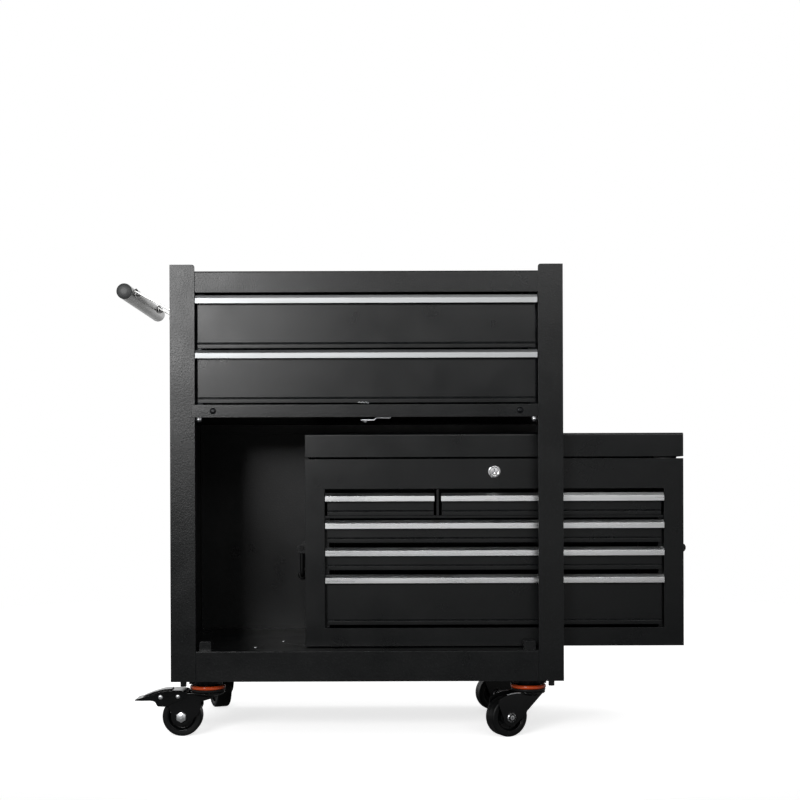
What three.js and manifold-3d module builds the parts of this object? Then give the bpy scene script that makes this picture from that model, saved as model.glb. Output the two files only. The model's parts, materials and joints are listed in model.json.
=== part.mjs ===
// Rolling tool cabinet with a smaller lidded drawer chest slid half way into its open compartment.
// Millimetres, +Z up, drawer fronts facing -Y. The origin ends up under the middle of the whole thing,
// on the floor that the wheels stand on.

import * as THREE from 'three';
import { mergeVertices } from 'three/addons/utils/BufferGeometryUtils.js';
import Module from 'manifold-3d';

const wasm = await Module();
wasm.setup();

// Clearances, and how finely round things are cut
const gap = 0.3;
const overrun = 4;
const weldDistance = 0.0001;
const bendSteps = 4;
const pinSides = 10;
const rodSides = 12;
const ringSides = 16;
const wheelSides = 24;
const bailSteps = 30;
const bailSides = 8;

// Swivel caster, in its own frame: the swivel axis is the origin, +X is the way the wheel trails
const caster = {
  height: 91.7,
  lead: 40,
  insetX: 52,
  insetY: 47,
  plate: 58,
  plateGauge: 2.5,
  plateCorner: 6,
  boltSpread: 44,
  boltRadius: 5,
  boltHead: 3.5,
  kingpin: 5,
  kingpinHead: 8,
  kingpinHeadHeight: 3.2,
  raceTop: 23,
  raceBottom: 21,
  raceHeight: 9.3,
};
const seal = { radius: 28, height: 9, webRadius: 22, webRise: 0.9, edge: 1.5 };
const fork = {
  gauge: 2.3,
  crownRadius: 27,
  crownEdge: 2,
  crownNeck: 15,
  crownNeckDrop: 6.8,
  crownFlat: 9.5,
  crownFlatDrop: 4.8,
  noseDrop: 8.7,
  noseReach: 10,
  throat: 9,
  throatDrop: 14.3,
  throatFoot: 23,
  chin: 13.5,
  chinDrop: 35,
  shoulder: 30,
  backReach: 44,
  backDrop: 0.8,
  heel: 62,
  heelDrop: 8.3,
  heelFoot: 18,
  axleEnd: 14,
  axleEndSweep: 135,
  axleRadius: 4,
  nutAcross: 8.6,
  nutHeight: 5,
  headRadius: 7.6,
  headHeight: 3.6,
};
const wheel = {
  radius: 31.75,
  width: 26,
  shoulder: 2.5,
  tyreInner: 23.5,
  rimInner: 21,
  webWidth: 11,
  webInner: 12,
  hubRadius: 9,
  hubWidth: 28.4,
};
const pedal = {
  pivotReach: 47,
  pivotDrop: 8.5,
  start: 31,
  startRise: 2.5,
  crest: 48,
  crestRise: 7.2,
  brow: 82,
  browRise: 4.7,
  tip: 115,
  tipDrop: 14.7,
  lip: 93,
  lipDrop: 15.9,
  cheekFoot: 77.5,
  cheekHeel: 61,
  cheekDrop: 22,
  cheekThroat: 37,
  cheekThroatDrop: 10.3,
  gauge: 2,
  pinRadius: 2.5,
  rivetRadius: 3.2,
  rivetHeight: 1.6,
  rivetReach: 76.6,
  rivetDrop: 10.5,
  shoeLength: 6,
  shoeWidth: 18,
  shoeReach: 60,
  shoeDrop: 10.4,
};

// Pull strip: a thin hooked extrusion along the top of every drawer front
const pull = { height: 13.4, reach: 9.5, shoulder: 3, bevel: 5, gauge: 1.4, leg: 8, curl: 2.4 };

// Cabinet
const cabinet = {
  width: 620,
  depth: 330,
  sheet: 1.2,
  postWidth: 39.4,
  postReturn: 8,
  postCorner: 5,
  rearFlange: 16,
  baseRail: 48,
  baseReturn: 7,
  compartment: 369,
  bar: 20,
  barReturn: 17,
  barOverlap: 5.4,
  topRail: 34,
  topReturn: 12,
  topRearFlange: 16,
  rim: 10,
  rimFold: 3.6,
  rimDrop: 8.5,
  bayFlange: 16.7,
};
const footTab = { depth: 14, nutRadius: 5.2, nutHeight: 8, nutInset: 19, nutSetback: 8 };
const barScrew = { inset: 28.6, radius: 2.9, height: 1.7 };
const doorPin = { inset: 5.2, setback: 8, radius: 4.6, length: 7.3 };
const socket = { inset: 3.6, width: 19, depth: 18, height: 14, setback: 13, hole: 3, corner: 3 };
const catchStrip = {
  start: -9,
  stepStart: 11,
  stepEnd: 15,
  end: 38,
  drop: 3.4,
  gauge: 1.6,
  depth: 14,
  setback: 5,
  screwX: -2.6,
  screwRadius: 3,
  screwHeight: 2.6,
};
const channel = { width: 76, flange: 10, gauge: 2, endInset: 16 };

// Drawers of the cabinet and the slides that carry them
const wideDrawer = {
  count: 2,
  front: 83.2,
  space: 3.2,
  above: 4.7,
  below: 2.7,
  faceInset: 4.4,
  pullInset: 1.6,
  faceSetback: 2,
  trayInset: 20.6,
  trayDepth: 272,
  trayLift: 8,
  trayCut: 15,
  sheet: 1,
  lip: 6,
  crease: 3,
  creaseDepth: 1.6,
  topReturn: 9,
  bottomReturn: 7,
};
const slide = {
  height: 34,
  reach: 8,
  mouth: 1.5,
  gauge: 1.2,
  railGauge: 1,
  lift: 14,
  upright: 24,
  frontSetback: 17,
  rearSetback: 245,
  length: 255,
};

// Push handle on the left
const handle = {
  radius: 12.3,
  wall: 1.6,
  length: 298,
  out: 72,
  drop: 41,
  setback: 4.5,
  capDome: 4,
  capEdge: 1.5,
  capPlug: 12,
  armFront: 35,
  armSpan: 208,
  armWidth: 24,
  armGauge: 2.3,
  armFoot: 26,
  armRootDrop: 68.6,
  armTabRise: 4.7,
  armTab: 10,
  boltRadius: 3,
  boltHead: 4.4,
  boltHeadHeight: 4,
  boltDepth: 6,
  footBolt: 4,
  footBoltHeight: 2.2,
  footBoltDrop: 13,
  footBoltSpread: 12,
};

// Chest, in its own frame: the origin is under the middle of its body
const chest = {
  width: 609,
  depth: 250,
  sheet: 1.2,
  offset: 204.2,
  setback: 45,
  foot: 1.6,
  footRadius: 9,
  footInset: 22,
  bottomRail: 29.3,
  sideBar: 31.4,
  upperFront: 48.2,
  seam: 3,
  lid: 38.2,
  lidCorner: 4,
  topHem: 8,
  collar: 6,
  faceSetback: 1,
  passage: 4,
  pullTravel: 26,
};
const rows = { low: 36.4, tall: 81, space: 7.4, above: 6.5, below: 5.1, lowCount: 3, across: 3 };
const chestDrawer = {
  sideGap: 4.2,
  pullInset: 1.2,
  trayInset: 14,
  smallTrayInset: 4,
  trayDepth: 215,
  trayLift: 3,
  trayCut: 12,
  sheet: 0.9,
  lip: 6,
  crease: 2.6,
  creaseDepth: 1.4,
  topReturn: 7,
  bottomReturn: 5,
};
const chestSlide = {
  height: 21,
  reach: 7,
  mouth: 1.2,
  gauge: 1,
  railGauge: 0.9,
  lift: 4,
  upright: 16,
  frontSetback: 12,
  rearSetback: 188,
  length: 204,
};
const divider = { gap: 10.7, strip: 4, sheet: 1, topGap: 1, rearSpace: 30, hem: 4, setIn: 2 };
const till = { flange: 10 };
const lock = {
  radius: 10,
  proud: 2.4,
  edge: 0.8,
  barrel: 8,
  length: 19,
  slotWidth: 2,
  slotHeight: 9,
  slotDepth: 1.2,
  drop: 20.4,
};
const hinge = { rod: 2, knuckle: 4, leaf: 13, gauge: 1.2, length: 520, count: 5, play: 0.6, standOff: 4.3 };
const bail = {
  pivotHeight: 154,
  drop: 45,
  halfWidth: 50,
  rod: 3.5,
  bend: 9,
  stubBend: 4,
  stub: 9,
  grip: 8,
  gripEdge: 2,
  gripHalf: 36,
  standOff: 10.4,
  earPlay: 0.6,
  earGauge: 3,
  earRadius: 8,
  plateGauge: 2,
  plateHeight: 24,
  plateMargin: 6,
};

// Levels and planes that several pieces share
const baseZ = caster.height + gap;
const floorZ = baseZ + cabinet.baseRail;
const barZ = floorZ + cabinet.compartment;
const barTopZ = barZ + cabinet.bar;
const bayZ = barZ + 2 * cabinet.sheet + gap;
const drawerPitch = wideDrawer.front + wideDrawer.space;
const drawerZ = barTopZ + wideDrawer.below;
const railZ = drawerZ + wideDrawer.count * drawerPitch - wideDrawer.space + wideDrawer.above;
const worktopZ = railZ + cabinet.topRail;
const topZ = worktopZ + cabinet.rim;
const sideX = cabinet.width / 2;
const innerX = sideX - cabinet.sheet - gap;
const postX = sideX - cabinet.postWidth;
const frontY = -cabinet.depth / 2;
const backY = cabinet.depth / 2;
const innerBackY = backY - 2 * (cabinet.sheet + gap);
const postBackY = frontY + cabinet.postReturn + gap;
const barY = frontY - gap - cabinet.sheet;

const chestHalf = chest.width / 2;
const chestInner = chestHalf - chest.sheet - gap;
const chestFront = -chest.depth / 2;
const chestBack = chest.depth / 2;
const chestY = frontY + chest.setback - chestFront;
const chestZ = floorZ + gap + chest.foot;
const openHalf = chestHalf - chest.sideBar;
const rowPitch = rows.low + rows.space;
const openTop = chest.bottomRail + rows.below + rows.tall + rows.lowCount * rowPitch + rows.above;
const bodyTop = openTop + chest.upperFront;
const lidZ = bodyTop + chest.seam;
const lidTop = lidZ + chest.lid;
const hingeY = chestBack + hinge.standOff;
const hingeZ = bodyTop + chest.seam / 2;
const faceY = chestFront + chest.faceSetback;
const rowBottom = (row) => openTop - rows.above - rows.low - row * rowPitch;
const shelfZ = rowBottom(0) - gap;

// Closed three.js geometry becomes a solid that can be joined and cut
function solidOf(geometry) {
  const bare = geometry.index ? geometry.toNonIndexed() : geometry;
  bare.deleteAttribute('normal');
  bare.deleteAttribute('uv');
  const merged = mergeVertices(bare, weldDistance);
  const corners = merged.index.array;
  const kept = [];
  for (let i = 0; i < corners.length; i += 3) {
    const [a, b, c] = corners.slice(i, i + 3);
    if (a !== b && b !== c && c !== a) kept.push(a, b, c);
  }
  const mesh = new wasm.Mesh({
    numProp: 3,
    vertProperties: merged.attributes.position.array,
    triVerts: Uint32Array.from(kept),
  });
  return new wasm.Manifold(mesh);
}

function geometryOf(solid) {
  const mesh = solid.getMesh();
  const geometry = new THREE.BufferGeometry();
  geometry.setAttribute('position', new THREE.BufferAttribute(mesh.vertProperties, mesh.numProp));
  geometry.setIndex(new THREE.BufferAttribute(mesh.triVerts, 1));
  geometry.computeVertexNormals();
  return geometry;
}

const joined = (solids) => solids.reduce((whole, next) => whole.add(next));
const cut = (solid, cutters) => cutters.reduce((rest, cutter) => rest.subtract(cutter), solid);
const flipped = (points, side) => points.map(([a, b]) => [side * a, b]);
const flippedRange = (a, b, side) => [Math.min(side * a, side * b), Math.max(side * a, side * b)];
const ends = [-1, 1];

// Outlines: lists of [a, b] points in the plane square to the way they are extruded
const rectangle = (a0, a1, b0, b1) => [[a0, b0], [a1, b0], [a1, b1], [a0, b1]];

function circle(a, b, radius, sides) {
  const turn = (2 * Math.PI) / sides;
  return Array.from({ length: sides }, (_, index) => {
    const angle = (index + 1 / 2) * turn;
    return [a + radius * Math.cos(angle), b + radius * Math.sin(angle)];
  });
}

// Corners given as [a, b, reach] are rounded over that reach, the others stay sharp
function rounded(corners) {
  const at = (index) => new THREE.Vector2(...corners[(index + corners.length) % corners.length]);
  return corners.flatMap(([a, b, reach = 0], index) => {
    if (reach === 0) return [[a, b]];
    const corner = new THREE.Vector2(a, b);
    const toward = (other) => other.sub(corner).setLength(reach).add(corner);
    const bend = new THREE.QuadraticBezierCurve(toward(at(index - 1)), corner, toward(at(index + 1)));
    return bend.getPoints(bendSteps).map((point) => point.toArray());
  });
}

// Folded sheet: the path is the outer face, the metal lies on its left
function folded(path, gauge) {
  const outer = path.map((point) => new THREE.Vector2(...point));
  const normal = (from, to) => new THREE.Vector2(from.y - to.y, to.x - from.x).normalize();
  const inner = outer.map((point, index) => {
    const last = index === outer.length - 1;
    const before = index > 0 ? normal(outer[index - 1], point) : normal(point, outer[index + 1]);
    const after = last ? before : normal(point, outer[index + 1]);
    const mitre = before.clone().add(after).divideScalar(1 + before.dot(after));
    return point.clone().addScaledVector(mitre, gauge);
  });
  return [...outer, ...inner.reverse()].map((point) => point.toArray());
}

function extruded(points, from, to, sideways, upward, onward) {
  const shape = new THREE.Shape(points.map(([a, b]) => new THREE.Vector2(a, b)));
  const low = Math.min(from, to);
  const depth = Math.abs(to - from);
  const geometry = new THREE.ExtrudeGeometry(shape, { depth, bevelEnabled: false });
  geometry.translate(0, 0, low);
  geometry.applyMatrix4(new THREE.Matrix4().makeBasis(sideways, upward, onward));
  return solidOf(geometry);
}

const unitX = new THREE.Vector3(1, 0, 0);
const unitY = new THREE.Vector3(0, 1, 0);
const unitZ = new THREE.Vector3(0, 0, 1);
const alongX = (points, from, to) => extruded(points, from, to, unitY, unitZ, unitX);
const alongZ = (points, from, to) => extruded(points, from, to, unitX, unitY, unitZ);
function alongY(points, from, to) {
  const turned = points.map(([a, b]) => [b, a]);
  return extruded(turned, from, to, unitZ, unitX, unitY);
}
const slab = ([x0, x1], [y0, y1], [z0, z1]) => alongZ(rectangle(x0, x1, y0, y1), z0, z1);

// Turned pieces: profile points are [radius, height], and the height runs towards a direction
function revolved(profile, sides, toward = unitZ, at = [0, 0, 0]) {
  const points = profile.map(([radius, height]) => new THREE.Vector2(radius, height));
  if (THREE.ShapeUtils.area(points) < 0) points.reverse();
  const first = points[0];
  const last = points[points.length - 1];
  if (first.x > 0 || last.x > 0) points.push(first.clone());
  const geometry = new THREE.LatheGeometry(points, sides);
  geometry.applyQuaternion(new THREE.Quaternion().setFromUnitVectors(unitY, toward));
  geometry.translate(...at);
  return solidOf(geometry);
}

function dome(radius, height, toward, at) {
  const profile = [[0, -gap], [radius, -gap], [radius, height / 3], [radius * Math.SQRT1_2, height], [0, height]];
  return revolved(profile, pinSides, toward, at);
}

// A rod bent in one plane: straight runs with rounded corners
function bentRod(corners, radius) {
  const route = rounded(corners);
  const path = new THREE.CurvePath();
  route.slice(1).forEach(([a, b], index) => {
    const [c, d] = route[index];
    path.add(new THREE.LineCurve3(new THREE.Vector3(0, c, d), new THREE.Vector3(0, a, b)));
  });
  const section = new THREE.Shape(circle(0, 0, radius, bailSides).map((point) => new THREE.Vector2(...point)));
  return solidOf(new THREE.ExtrudeGeometry(section, { steps: bailSteps, extrudePath: path }));
}

// Finishes
const finish = (color, roughness, metalness) => new THREE.MeshStandardMaterial({ color, roughness, metalness });
const powderCoat = () => finish(0x35393a, 0.62, 0.1);
const satinEnamel = () => finish(0x3a3f41, 0.42, 0.15);
const glossEnamel = () => finish(0x16181a, 0.18, 0.2);
const aluminium = () => finish(0xc9cccd, 0.3, 0.95);
const zinc = () => finish(0xb9bcc0, 0.35, 0.9);
const chrome = () => finish(0xd8dadc, 0.12, 1);
const rubber = () => finish(0x1d1f20, 0.7, 0);
const plastic = () => finish(0x2a2c2d, 0.5, 0);
const orangePlastic = () => finish(0xd8481f, 0.35, 0);

function piece(parent, name, solid, material) {
  const mesh = new THREE.Mesh(geometryOf(solid), material);
  mesh.name = name;
  parent.add(mesh);
  return mesh;
}

// Side of the cabinet: one folded sheet from the front post round to the rear flange
function sideSheet(side) {
  const path = [
    [postX, frontY + cabinet.postReturn],
    [postX, frontY],
    [sideX, frontY],
    [sideX, backY],
    [sideX - cabinet.rearFlange, backY],
  ];
  const sheet = alongZ(flipped(folded(path, cabinet.sheet), side), baseZ, topZ);
  const tab = slab(
    flippedRange(postX + cabinet.sheet / 2, sideX - cabinet.sheet / 2, side),
    [frontY + cabinet.sheet / 2, frontY + footTab.depth],
    [baseZ, baseZ + cabinet.sheet],
  );
  const nutX = side * (sideX - footTab.nutInset);
  const nutOutline = circle(nutX, frontY + footTab.nutSetback, footTab.nutRadius, 6);
  const nut = alongZ(nutOutline, baseZ - footTab.nutHeight, baseZ + cabinet.sheet / 2);
  const railNotch = slab(
    flippedRange(postX - overrun, postX + cabinet.sheet + gap, side),
    [frontY + cabinet.sheet, postBackY],
    [railZ - gap, topZ + overrun],
  );
  const reach = cabinet.postCorner;
  const cornerOutline = [[postX - overrun, topZ + overrun], [postX - overrun, topZ - reach]];
  const arc = new THREE.QuadraticBezierCurve(
    new THREE.Vector2(postX, topZ - reach),
    new THREE.Vector2(postX, topZ),
    new THREE.Vector2(postX + reach, topZ),
  );
  const corner = [...cornerOutline, ...arc.getPoints(bendSteps).map((point) => point.toArray())];
  corner.push([postX + reach, topZ + overrun]);
  const cornerCut = alongY(flipped(corner, side), frontY - overrun, frontY + cabinet.sheet + gap);
  return cut(joined([sheet, tab, nut]), [railNotch, cornerCut]);
}

// The open side: the chest with its hinge passes, and so do its pulls when a drawer is out by its travel
function sideOpening() {
  const nearY = chestY + faceY - gap - pull.reach - chest.pullTravel - gap;
  const farY = chestY + hingeY + hinge.knuckle + chest.passage;
  return alongX(rectangle(nearY, farY, floorZ, barZ), innerX, sideX + overrun);
}

// The back ends in a narrow rim folded forward and down, and the worktop stops just in front of it
const panelY = backY - cabinet.sheet - gap;
const rimY = panelY - cabinet.rimFold;

function backPanel() {
  const path = [[panelY, baseZ], [panelY, topZ], [rimY, topZ], [rimY, topZ - cabinet.rimDrop]];
  return alongX(folded(path, cabinet.sheet), -innerX, innerX);
}

function topPanel() {
  const railY = frontY + cabinet.sheet + gap;
  const path = [
    [rimY - gap, worktopZ - cabinet.topRearFlange],
    [rimY - gap, worktopZ],
    [railY, worktopZ],
    [railY, railZ],
    [railY + cabinet.topReturn, railZ],
  ];
  return alongX(folded(path, cabinet.sheet), -innerX, innerX);
}

function bayFloor() {
  const path = [[innerBackY, bayZ - cabinet.bayFlange], [innerBackY, bayZ], [postBackY, bayZ]];
  return alongX(folded(path, cabinet.sheet), -innerX, innerX);
}

function crossbar() {
  const half = postX - gap;
  const path = [
    [barY + cabinet.barReturn, barTopZ],
    [barY, barTopZ],
    [barY, barZ],
    [barY + cabinet.barReturn, barZ],
  ];
  const bar = alongX(folded(path, cabinet.sheet), -half, half);
  const tab = slab([-postX - cabinet.barOverlap, -half + overrun], [barY, barY + cabinet.sheet], [barZ, barTopZ]);
  const screwZ = barZ + cabinet.bar / 2;
  const toFront = unitY.clone().negate();
  const screws = ends.map((side) => {
    const at = [side * (postX - barScrew.inset), barY, screwZ];
    return dome(barScrew.radius, barScrew.height, toFront, at);
  });
  const pins = ends.map((side) => {
    const outline = circle(side * (postX - doorPin.inset), frontY + doorPin.setback, doorPin.radius, pinSides);
    return alongZ(outline, barZ - doorPin.length, barZ + cabinet.sheet / 2);
  });
  return joined([bar, tab, ...screws, ...pins]);
}

// Compartment floor and bottom rail, notched round the posts, with the sockets of the door pins
function basePan() {
  const railY = frontY + gap;
  const path = [
    [innerBackY, baseZ],
    [innerBackY, floorZ],
    [railY, floorZ],
    [railY, baseZ],
    [railY + cabinet.baseReturn, baseZ],
  ];
  const pan = alongX(folded(path, cabinet.sheet), -innerX, innerX);
  const notches = ends.map((side) => slab(
    flippedRange(postX - gap, sideX + overrun, side),
    [frontY - overrun, postBackY],
    [baseZ - overrun, floorZ + overrun],
  ));
  const flanges = ends.map((side) => slab(
    flippedRange(innerX - cabinet.sheet, innerX, side),
    [frontY + footTab.depth + gap, innerBackY],
    [baseZ, floorZ - cabinet.sheet / 2],
  ));
  return joined([cut(pan, notches), ...flanges, ...ends.map(doorSocket)]);
}

function doorSocket(side) {
  const outerX = postX - socket.inset;
  const top = floorZ + socket.height;
  const outline = rounded([
    [outerX - socket.width, floorZ - cabinet.sheet / 2],
    [outerX, floorZ - cabinet.sheet / 2],
    [outerX, top, socket.corner],
    [outerX - socket.width, top, socket.corner],
  ]);
  const nearY = frontY + socket.setback;
  const block = alongY(flipped(outline, side), nearY, nearY + socket.depth);
  const bore = circle(side * (outerX - socket.width / 2), nearY + socket.depth / 2, socket.hole, pinSides);
  return block.subtract(alongZ(bore, floorZ, top + overrun));
}

function casterChannel(side) {
  const middle = sideX - caster.insetX;
  const low = floorZ - cabinet.sheet - gap - channel.gauge;
  const near = middle - channel.width / 2;
  const far = middle + channel.width / 2;
  const path = [
    [near - channel.flange, low],
    [near, low],
    [near, baseZ],
    [far, baseZ],
    [far, low],
    [far + channel.flange, low],
  ];
  const outline = flipped(folded(path, channel.gauge), side);
  return alongY(outline, frontY + channel.endInset, backY - channel.endInset);
}

// Bent catch strip that the doors close against, under the crossbar
function catchPlate() {
  const high = barZ - gap;
  const low = high - catchStrip.drop;
  const path = [
    [catchStrip.end, high],
    [catchStrip.stepEnd, high],
    [catchStrip.stepStart, low],
    [catchStrip.start, low],
  ];
  const nearY = frontY + catchStrip.setback;
  const strip = alongY(folded(path, catchStrip.gauge), nearY, nearY + catchStrip.depth);
  const at = [catchStrip.screwX, nearY + catchStrip.depth / 2, low - catchStrip.gauge];
  const screw = dome(catchStrip.screwRadius, catchStrip.screwHeight, unitZ.clone().negate(), at);
  return strip.add(screw);
}

// Channel that opens towards the drawer, and the rail of the drawer that runs in it
function slideChannel(trayHalf, bottom, size, nearY, side) {
  const outerX = trayHalf + size.reach + gap + size.gauge;
  const mouthX = trayHalf + size.mouth;
  const path = [
    [mouthX, bottom],
    [outerX, bottom],
    [outerX, bottom + size.height],
    [mouthX, bottom + size.height],
  ];
  return alongY(flipped(folded(path, size.gauge), side), nearY, nearY + size.length);
}

function drawerRail(trayHalf, rail, start, size, side) {
  const low = rail.lift + rail.gauge + gap;
  const high = rail.lift + rail.height - rail.gauge - gap;
  const tipX = trayHalf + rail.reach;
  const rootX = trayHalf - size.sheet;
  const path = [[tipX, high], [rootX, high], [rootX, low], [tipX, low]];
  return alongY(flipped(folded(path, rail.railGauge), side), start, size.trayDepth);
}

function slideUprights(trayHalf, wallX, size, originY, low, high, side) {
  const slideX = trayHalf + size.reach + gap;
  return [size.frontSetback, size.rearSetback].map((setback) => {
    const nearY = originY + setback;
    const path = [[slideX, nearY + size.upright], [slideX, nearY], [wallX, nearY], [wallX, nearY + size.upright]];
    return alongZ(flipped(folded(path, size.gauge), side), low, high);
  });
}

function slideFrame(side) {
  const trayHalf = postX - wideDrawer.trayInset;
  const uprights = slideUprights(trayHalf, innerX, slide, frontY, bayZ + gap, railZ, side);
  const channels = Array.from({ length: wideDrawer.count }, (_, index) => {
    const bottom = drawerZ + index * drawerPitch + slide.lift;
    return slideChannel(trayHalf, bottom, slide, frontY + slide.frontSetback, side);
  });
  return joined([...uprights, ...channels]);
}

// Drawer in its own frame: the face is the plane y = 0, its lower edge z = 0, its middle x = 0
function drawer({ size, faceHalf, front, trayHalf, lift, rail, railStart }) {
  const face = folded([
    [size.topReturn, front],
    [0, front],
    [0, size.lip + size.crease],
    [size.creaseDepth, size.lip + size.crease / 2],
    [0, size.lip],
    [0, 0],
    [size.bottomReturn, 0],
  ], size.sheet);
  const trayTop = front - size.trayCut;
  const tray = folded([[-trayHalf, trayTop], [-trayHalf, lift], [trayHalf, lift], [trayHalf, trayTop]], size.sheet);
  const rear = slab(
    [-trayHalf, trayHalf],
    [size.trayDepth - size.sheet, size.trayDepth],
    [lift, trayTop],
  );
  const solids = [
    alongX(face, -faceHalf, faceHalf),
    alongY(tray, size.sheet / 2, size.trayDepth),
    rear,
  ];
  if (rail) {
    const rails = ends.map((side) => drawerRail(trayHalf, rail, railStart, size, side));
    solids.push(...rails);
  }
  return joined(solids);
}

// Pull strip in the drawer's frame: a leg on the face, a bevelled top, a front band and a curled edge
function pullStrip(from, to, front) {
  const outline = folded([
    [-gap, front - pull.leg],
    [-gap, front],
    [-pull.shoulder, front],
    [-pull.reach, front - pull.bevel],
    [-pull.reach, front - pull.height],
    [-pull.reach + pull.curl, front - pull.height],
  ], pull.gauge);
  return alongX(outline, from, to);
}

function addDrawer(parent, name, place, solids) {
  const group = new THREE.Group();
  group.position.set(...place);
  piece(group, name, solids.body, satinEnamel());
  piece(group, `${name}_pull`, solids.pull, aluminium());
  parent.add(group);
}

function addCabinetDrawers(parent) {
  const faceHalf = postX - wideDrawer.faceInset;
  const body = drawer({
    size: wideDrawer,
    faceHalf,
    front: wideDrawer.front,
    trayHalf: postX - wideDrawer.trayInset,
    lift: wideDrawer.trayLift,
    rail: slide,
    railStart: slide.frontSetback - wideDrawer.faceSetback,
  });
  const pullHalf = postX - wideDrawer.pullInset;
  const strip = pullStrip(-pullHalf, pullHalf, wideDrawer.front);
  ['lower_drawer', 'upper_drawer'].forEach((name, index) => {
    const place = [0, frontY + wideDrawer.faceSetback, drawerZ + index * drawerPitch];
    addDrawer(parent, name, place, { body, pull: strip });
  });
}

// Push handle: tube with two plugs, carried by two bent arms
const tubeX = -(sideX + handle.out);
const tubeZ = topZ - handle.drop;
const tubeNearY = frontY + handle.setback;
const armYs = [frontY + handle.armFront, frontY + handle.armFront + handle.armSpan];

function handleTube() {
  const inner = handle.radius - handle.wall;
  const profile = rectangle(inner, handle.radius, 0, handle.length);
  const tube = revolved(profile, ringSides, unitY, [tubeX, tubeNearY, tubeZ]);
  const holes = armYs.map((y) => alongX(circle(y, tubeZ, handle.boltRadius + gap, pinSides), tubeX, tubeX + handle.out));
  return cut(tube, holes);
}

function handleCap(toward, y) {
  const plug = handle.radius - handle.wall - gap;
  const inset = handle.radius * Math.SQRT1_2;
  const profile = [
    [0, -handle.capPlug],
    [plug, -handle.capPlug],
    [plug, gap],
    [handle.radius, gap],
    [handle.radius, handle.capEdge],
    [inset, handle.capDome * Math.SQRT1_2 + gap],
    [0, handle.capDome],
  ];
  return revolved(profile, ringSides, toward, [tubeX, y, tubeZ]);
}

function handleArm(y) {
  const wallX = -(sideX + gap);
  const tabX = tubeX + handle.radius + gap;
  const rootZ = topZ - handle.armRootDrop;
  const tabZ = tubeZ + handle.armTabRise;
  const path = [[wallX, rootZ - handle.armFoot], [wallX, rootZ], [tabX, tabZ], [tabX, tabZ - handle.armTab]];
  const half = handle.armWidth / 2;
  const strap = alongY(folded(path, handle.armGauge), y - half, y + half);
  const shank = alongX(circle(y, tubeZ, handle.boltRadius, pinSides), tabX - handle.boltDepth, tabX + handle.armGauge);
  const head = alongX(
    circle(y, tubeZ, handle.boltHead, 6),
    tabX + handle.armGauge / 2,
    tabX + handle.armGauge + handle.boltHeadHeight,
  );
  const outward = unitX.clone().negate();
  const footBolts = ends.map((side) => {
    const at = [wallX - handle.armGauge, y + side * handle.footBoltSpread / 2, rootZ - handle.footBoltDrop];
    return dome(handle.footBolt, handle.footBoltHeight, outward, at);
  });
  return joined([strap, shank, head, ...footBolts]);
}

function addHandle(parent) {
  piece(parent, 'push_handle_tube', handleTube(), chrome());
  piece(parent, 'push_handle_cap_front', handleCap(unitY.clone().negate(), tubeNearY), plastic());
  piece(parent, 'push_handle_cap_rear', handleCap(unitY, tubeNearY + handle.length), plastic());
  ['front', 'rear'].forEach((end, index) => {
    piece(parent, `push_handle_arm_${end}`, handleArm(armYs[index]), chrome());
  });
}

// Casters, each turned about its swivel axis
const crownZ = caster.height - caster.plateGauge - caster.raceHeight - gap - seal.height - gap;
const legInner = wheel.hubWidth / 2 + gap;
const legOuter = legInner + fork.gauge;
const cheekOuter = legOuter + gap + pedal.gauge;
const axleZ = wheel.radius;
const pivotZ = crownZ - pedal.pivotDrop;

function casterPlate() {
  const half = caster.plate / 2;
  const under = caster.height - caster.plateGauge;
  const corner = caster.plateCorner;
  const outline = rounded([[-half, -half, corner], [half, -half, corner], [half, half, corner], [-half, half, corner]]);
  const plate = alongZ(outline, under, caster.height);
  const headTop = crownZ - fork.crownFlatDrop - gap;
  const race = revolved([
    [0, headTop - caster.kingpinHeadHeight],
    [caster.kingpinHead, headTop - caster.kingpinHeadHeight],
    [caster.kingpinHead, headTop],
    [caster.kingpin, headTop],
    [caster.kingpin, under - caster.raceHeight],
    [caster.raceBottom, under - caster.raceHeight],
    [caster.raceTop, under + caster.plateGauge / 2],
    [0, under + caster.plateGauge / 2],
  ], rodSides);
  const spread = caster.boltSpread / 2;
  const bolts = ends.flatMap((a) => ends.map((b) => {
    const outline = circle(a * spread, b * spread, caster.boltRadius, 6);
    return alongZ(outline, under - caster.boltHead, under + caster.plateGauge / 2);
  }));
  return joined([plate, race, ...bolts]);
}

function swivelSeal() {
  const low = crownZ + gap;
  const high = low + seal.height;
  const bore = caster.kingpin + gap;
  return revolved([
    [bore, low + seal.webRise],
    [seal.webRadius, low + seal.webRise],
    [seal.webRadius + seal.edge, low],
    [seal.radius - seal.edge, low],
    [seal.radius, low + seal.edge],
    [seal.radius, high - seal.edge],
    [seal.radius - seal.edge, high],
    [bore, high],
  ], ringSides);
}

// Fork: two pressed legs under a dished crown, with the axle bolt fixed in them
function forkLegOutline() {
  const steps = 2 * bendSteps;
  const axleEnd = Array.from({ length: steps + 1 }, (_, index) => {
    const angle = THREE.MathUtils.degToRad((index / steps - 1) * fork.axleEndSweep);
    return [caster.lead + fork.axleEnd * Math.cos(angle), axleZ + fork.axleEnd * Math.sin(angle)];
  });
  return [
    [-fork.crownNeck, crownZ],
    [-fork.noseReach, crownZ - fork.noseDrop],
    [fork.throat, crownZ - fork.throatDrop],
    [fork.throat, crownZ - fork.throatFoot],
    [fork.chin, crownZ - fork.chinDrop],
    ...axleEnd,
    [fork.heel, crownZ - fork.heelFoot],
    [fork.heel, crownZ - fork.heelDrop],
    [fork.backReach, crownZ - fork.backDrop],
    [fork.shoulder, crownZ],
  ];
}

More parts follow.
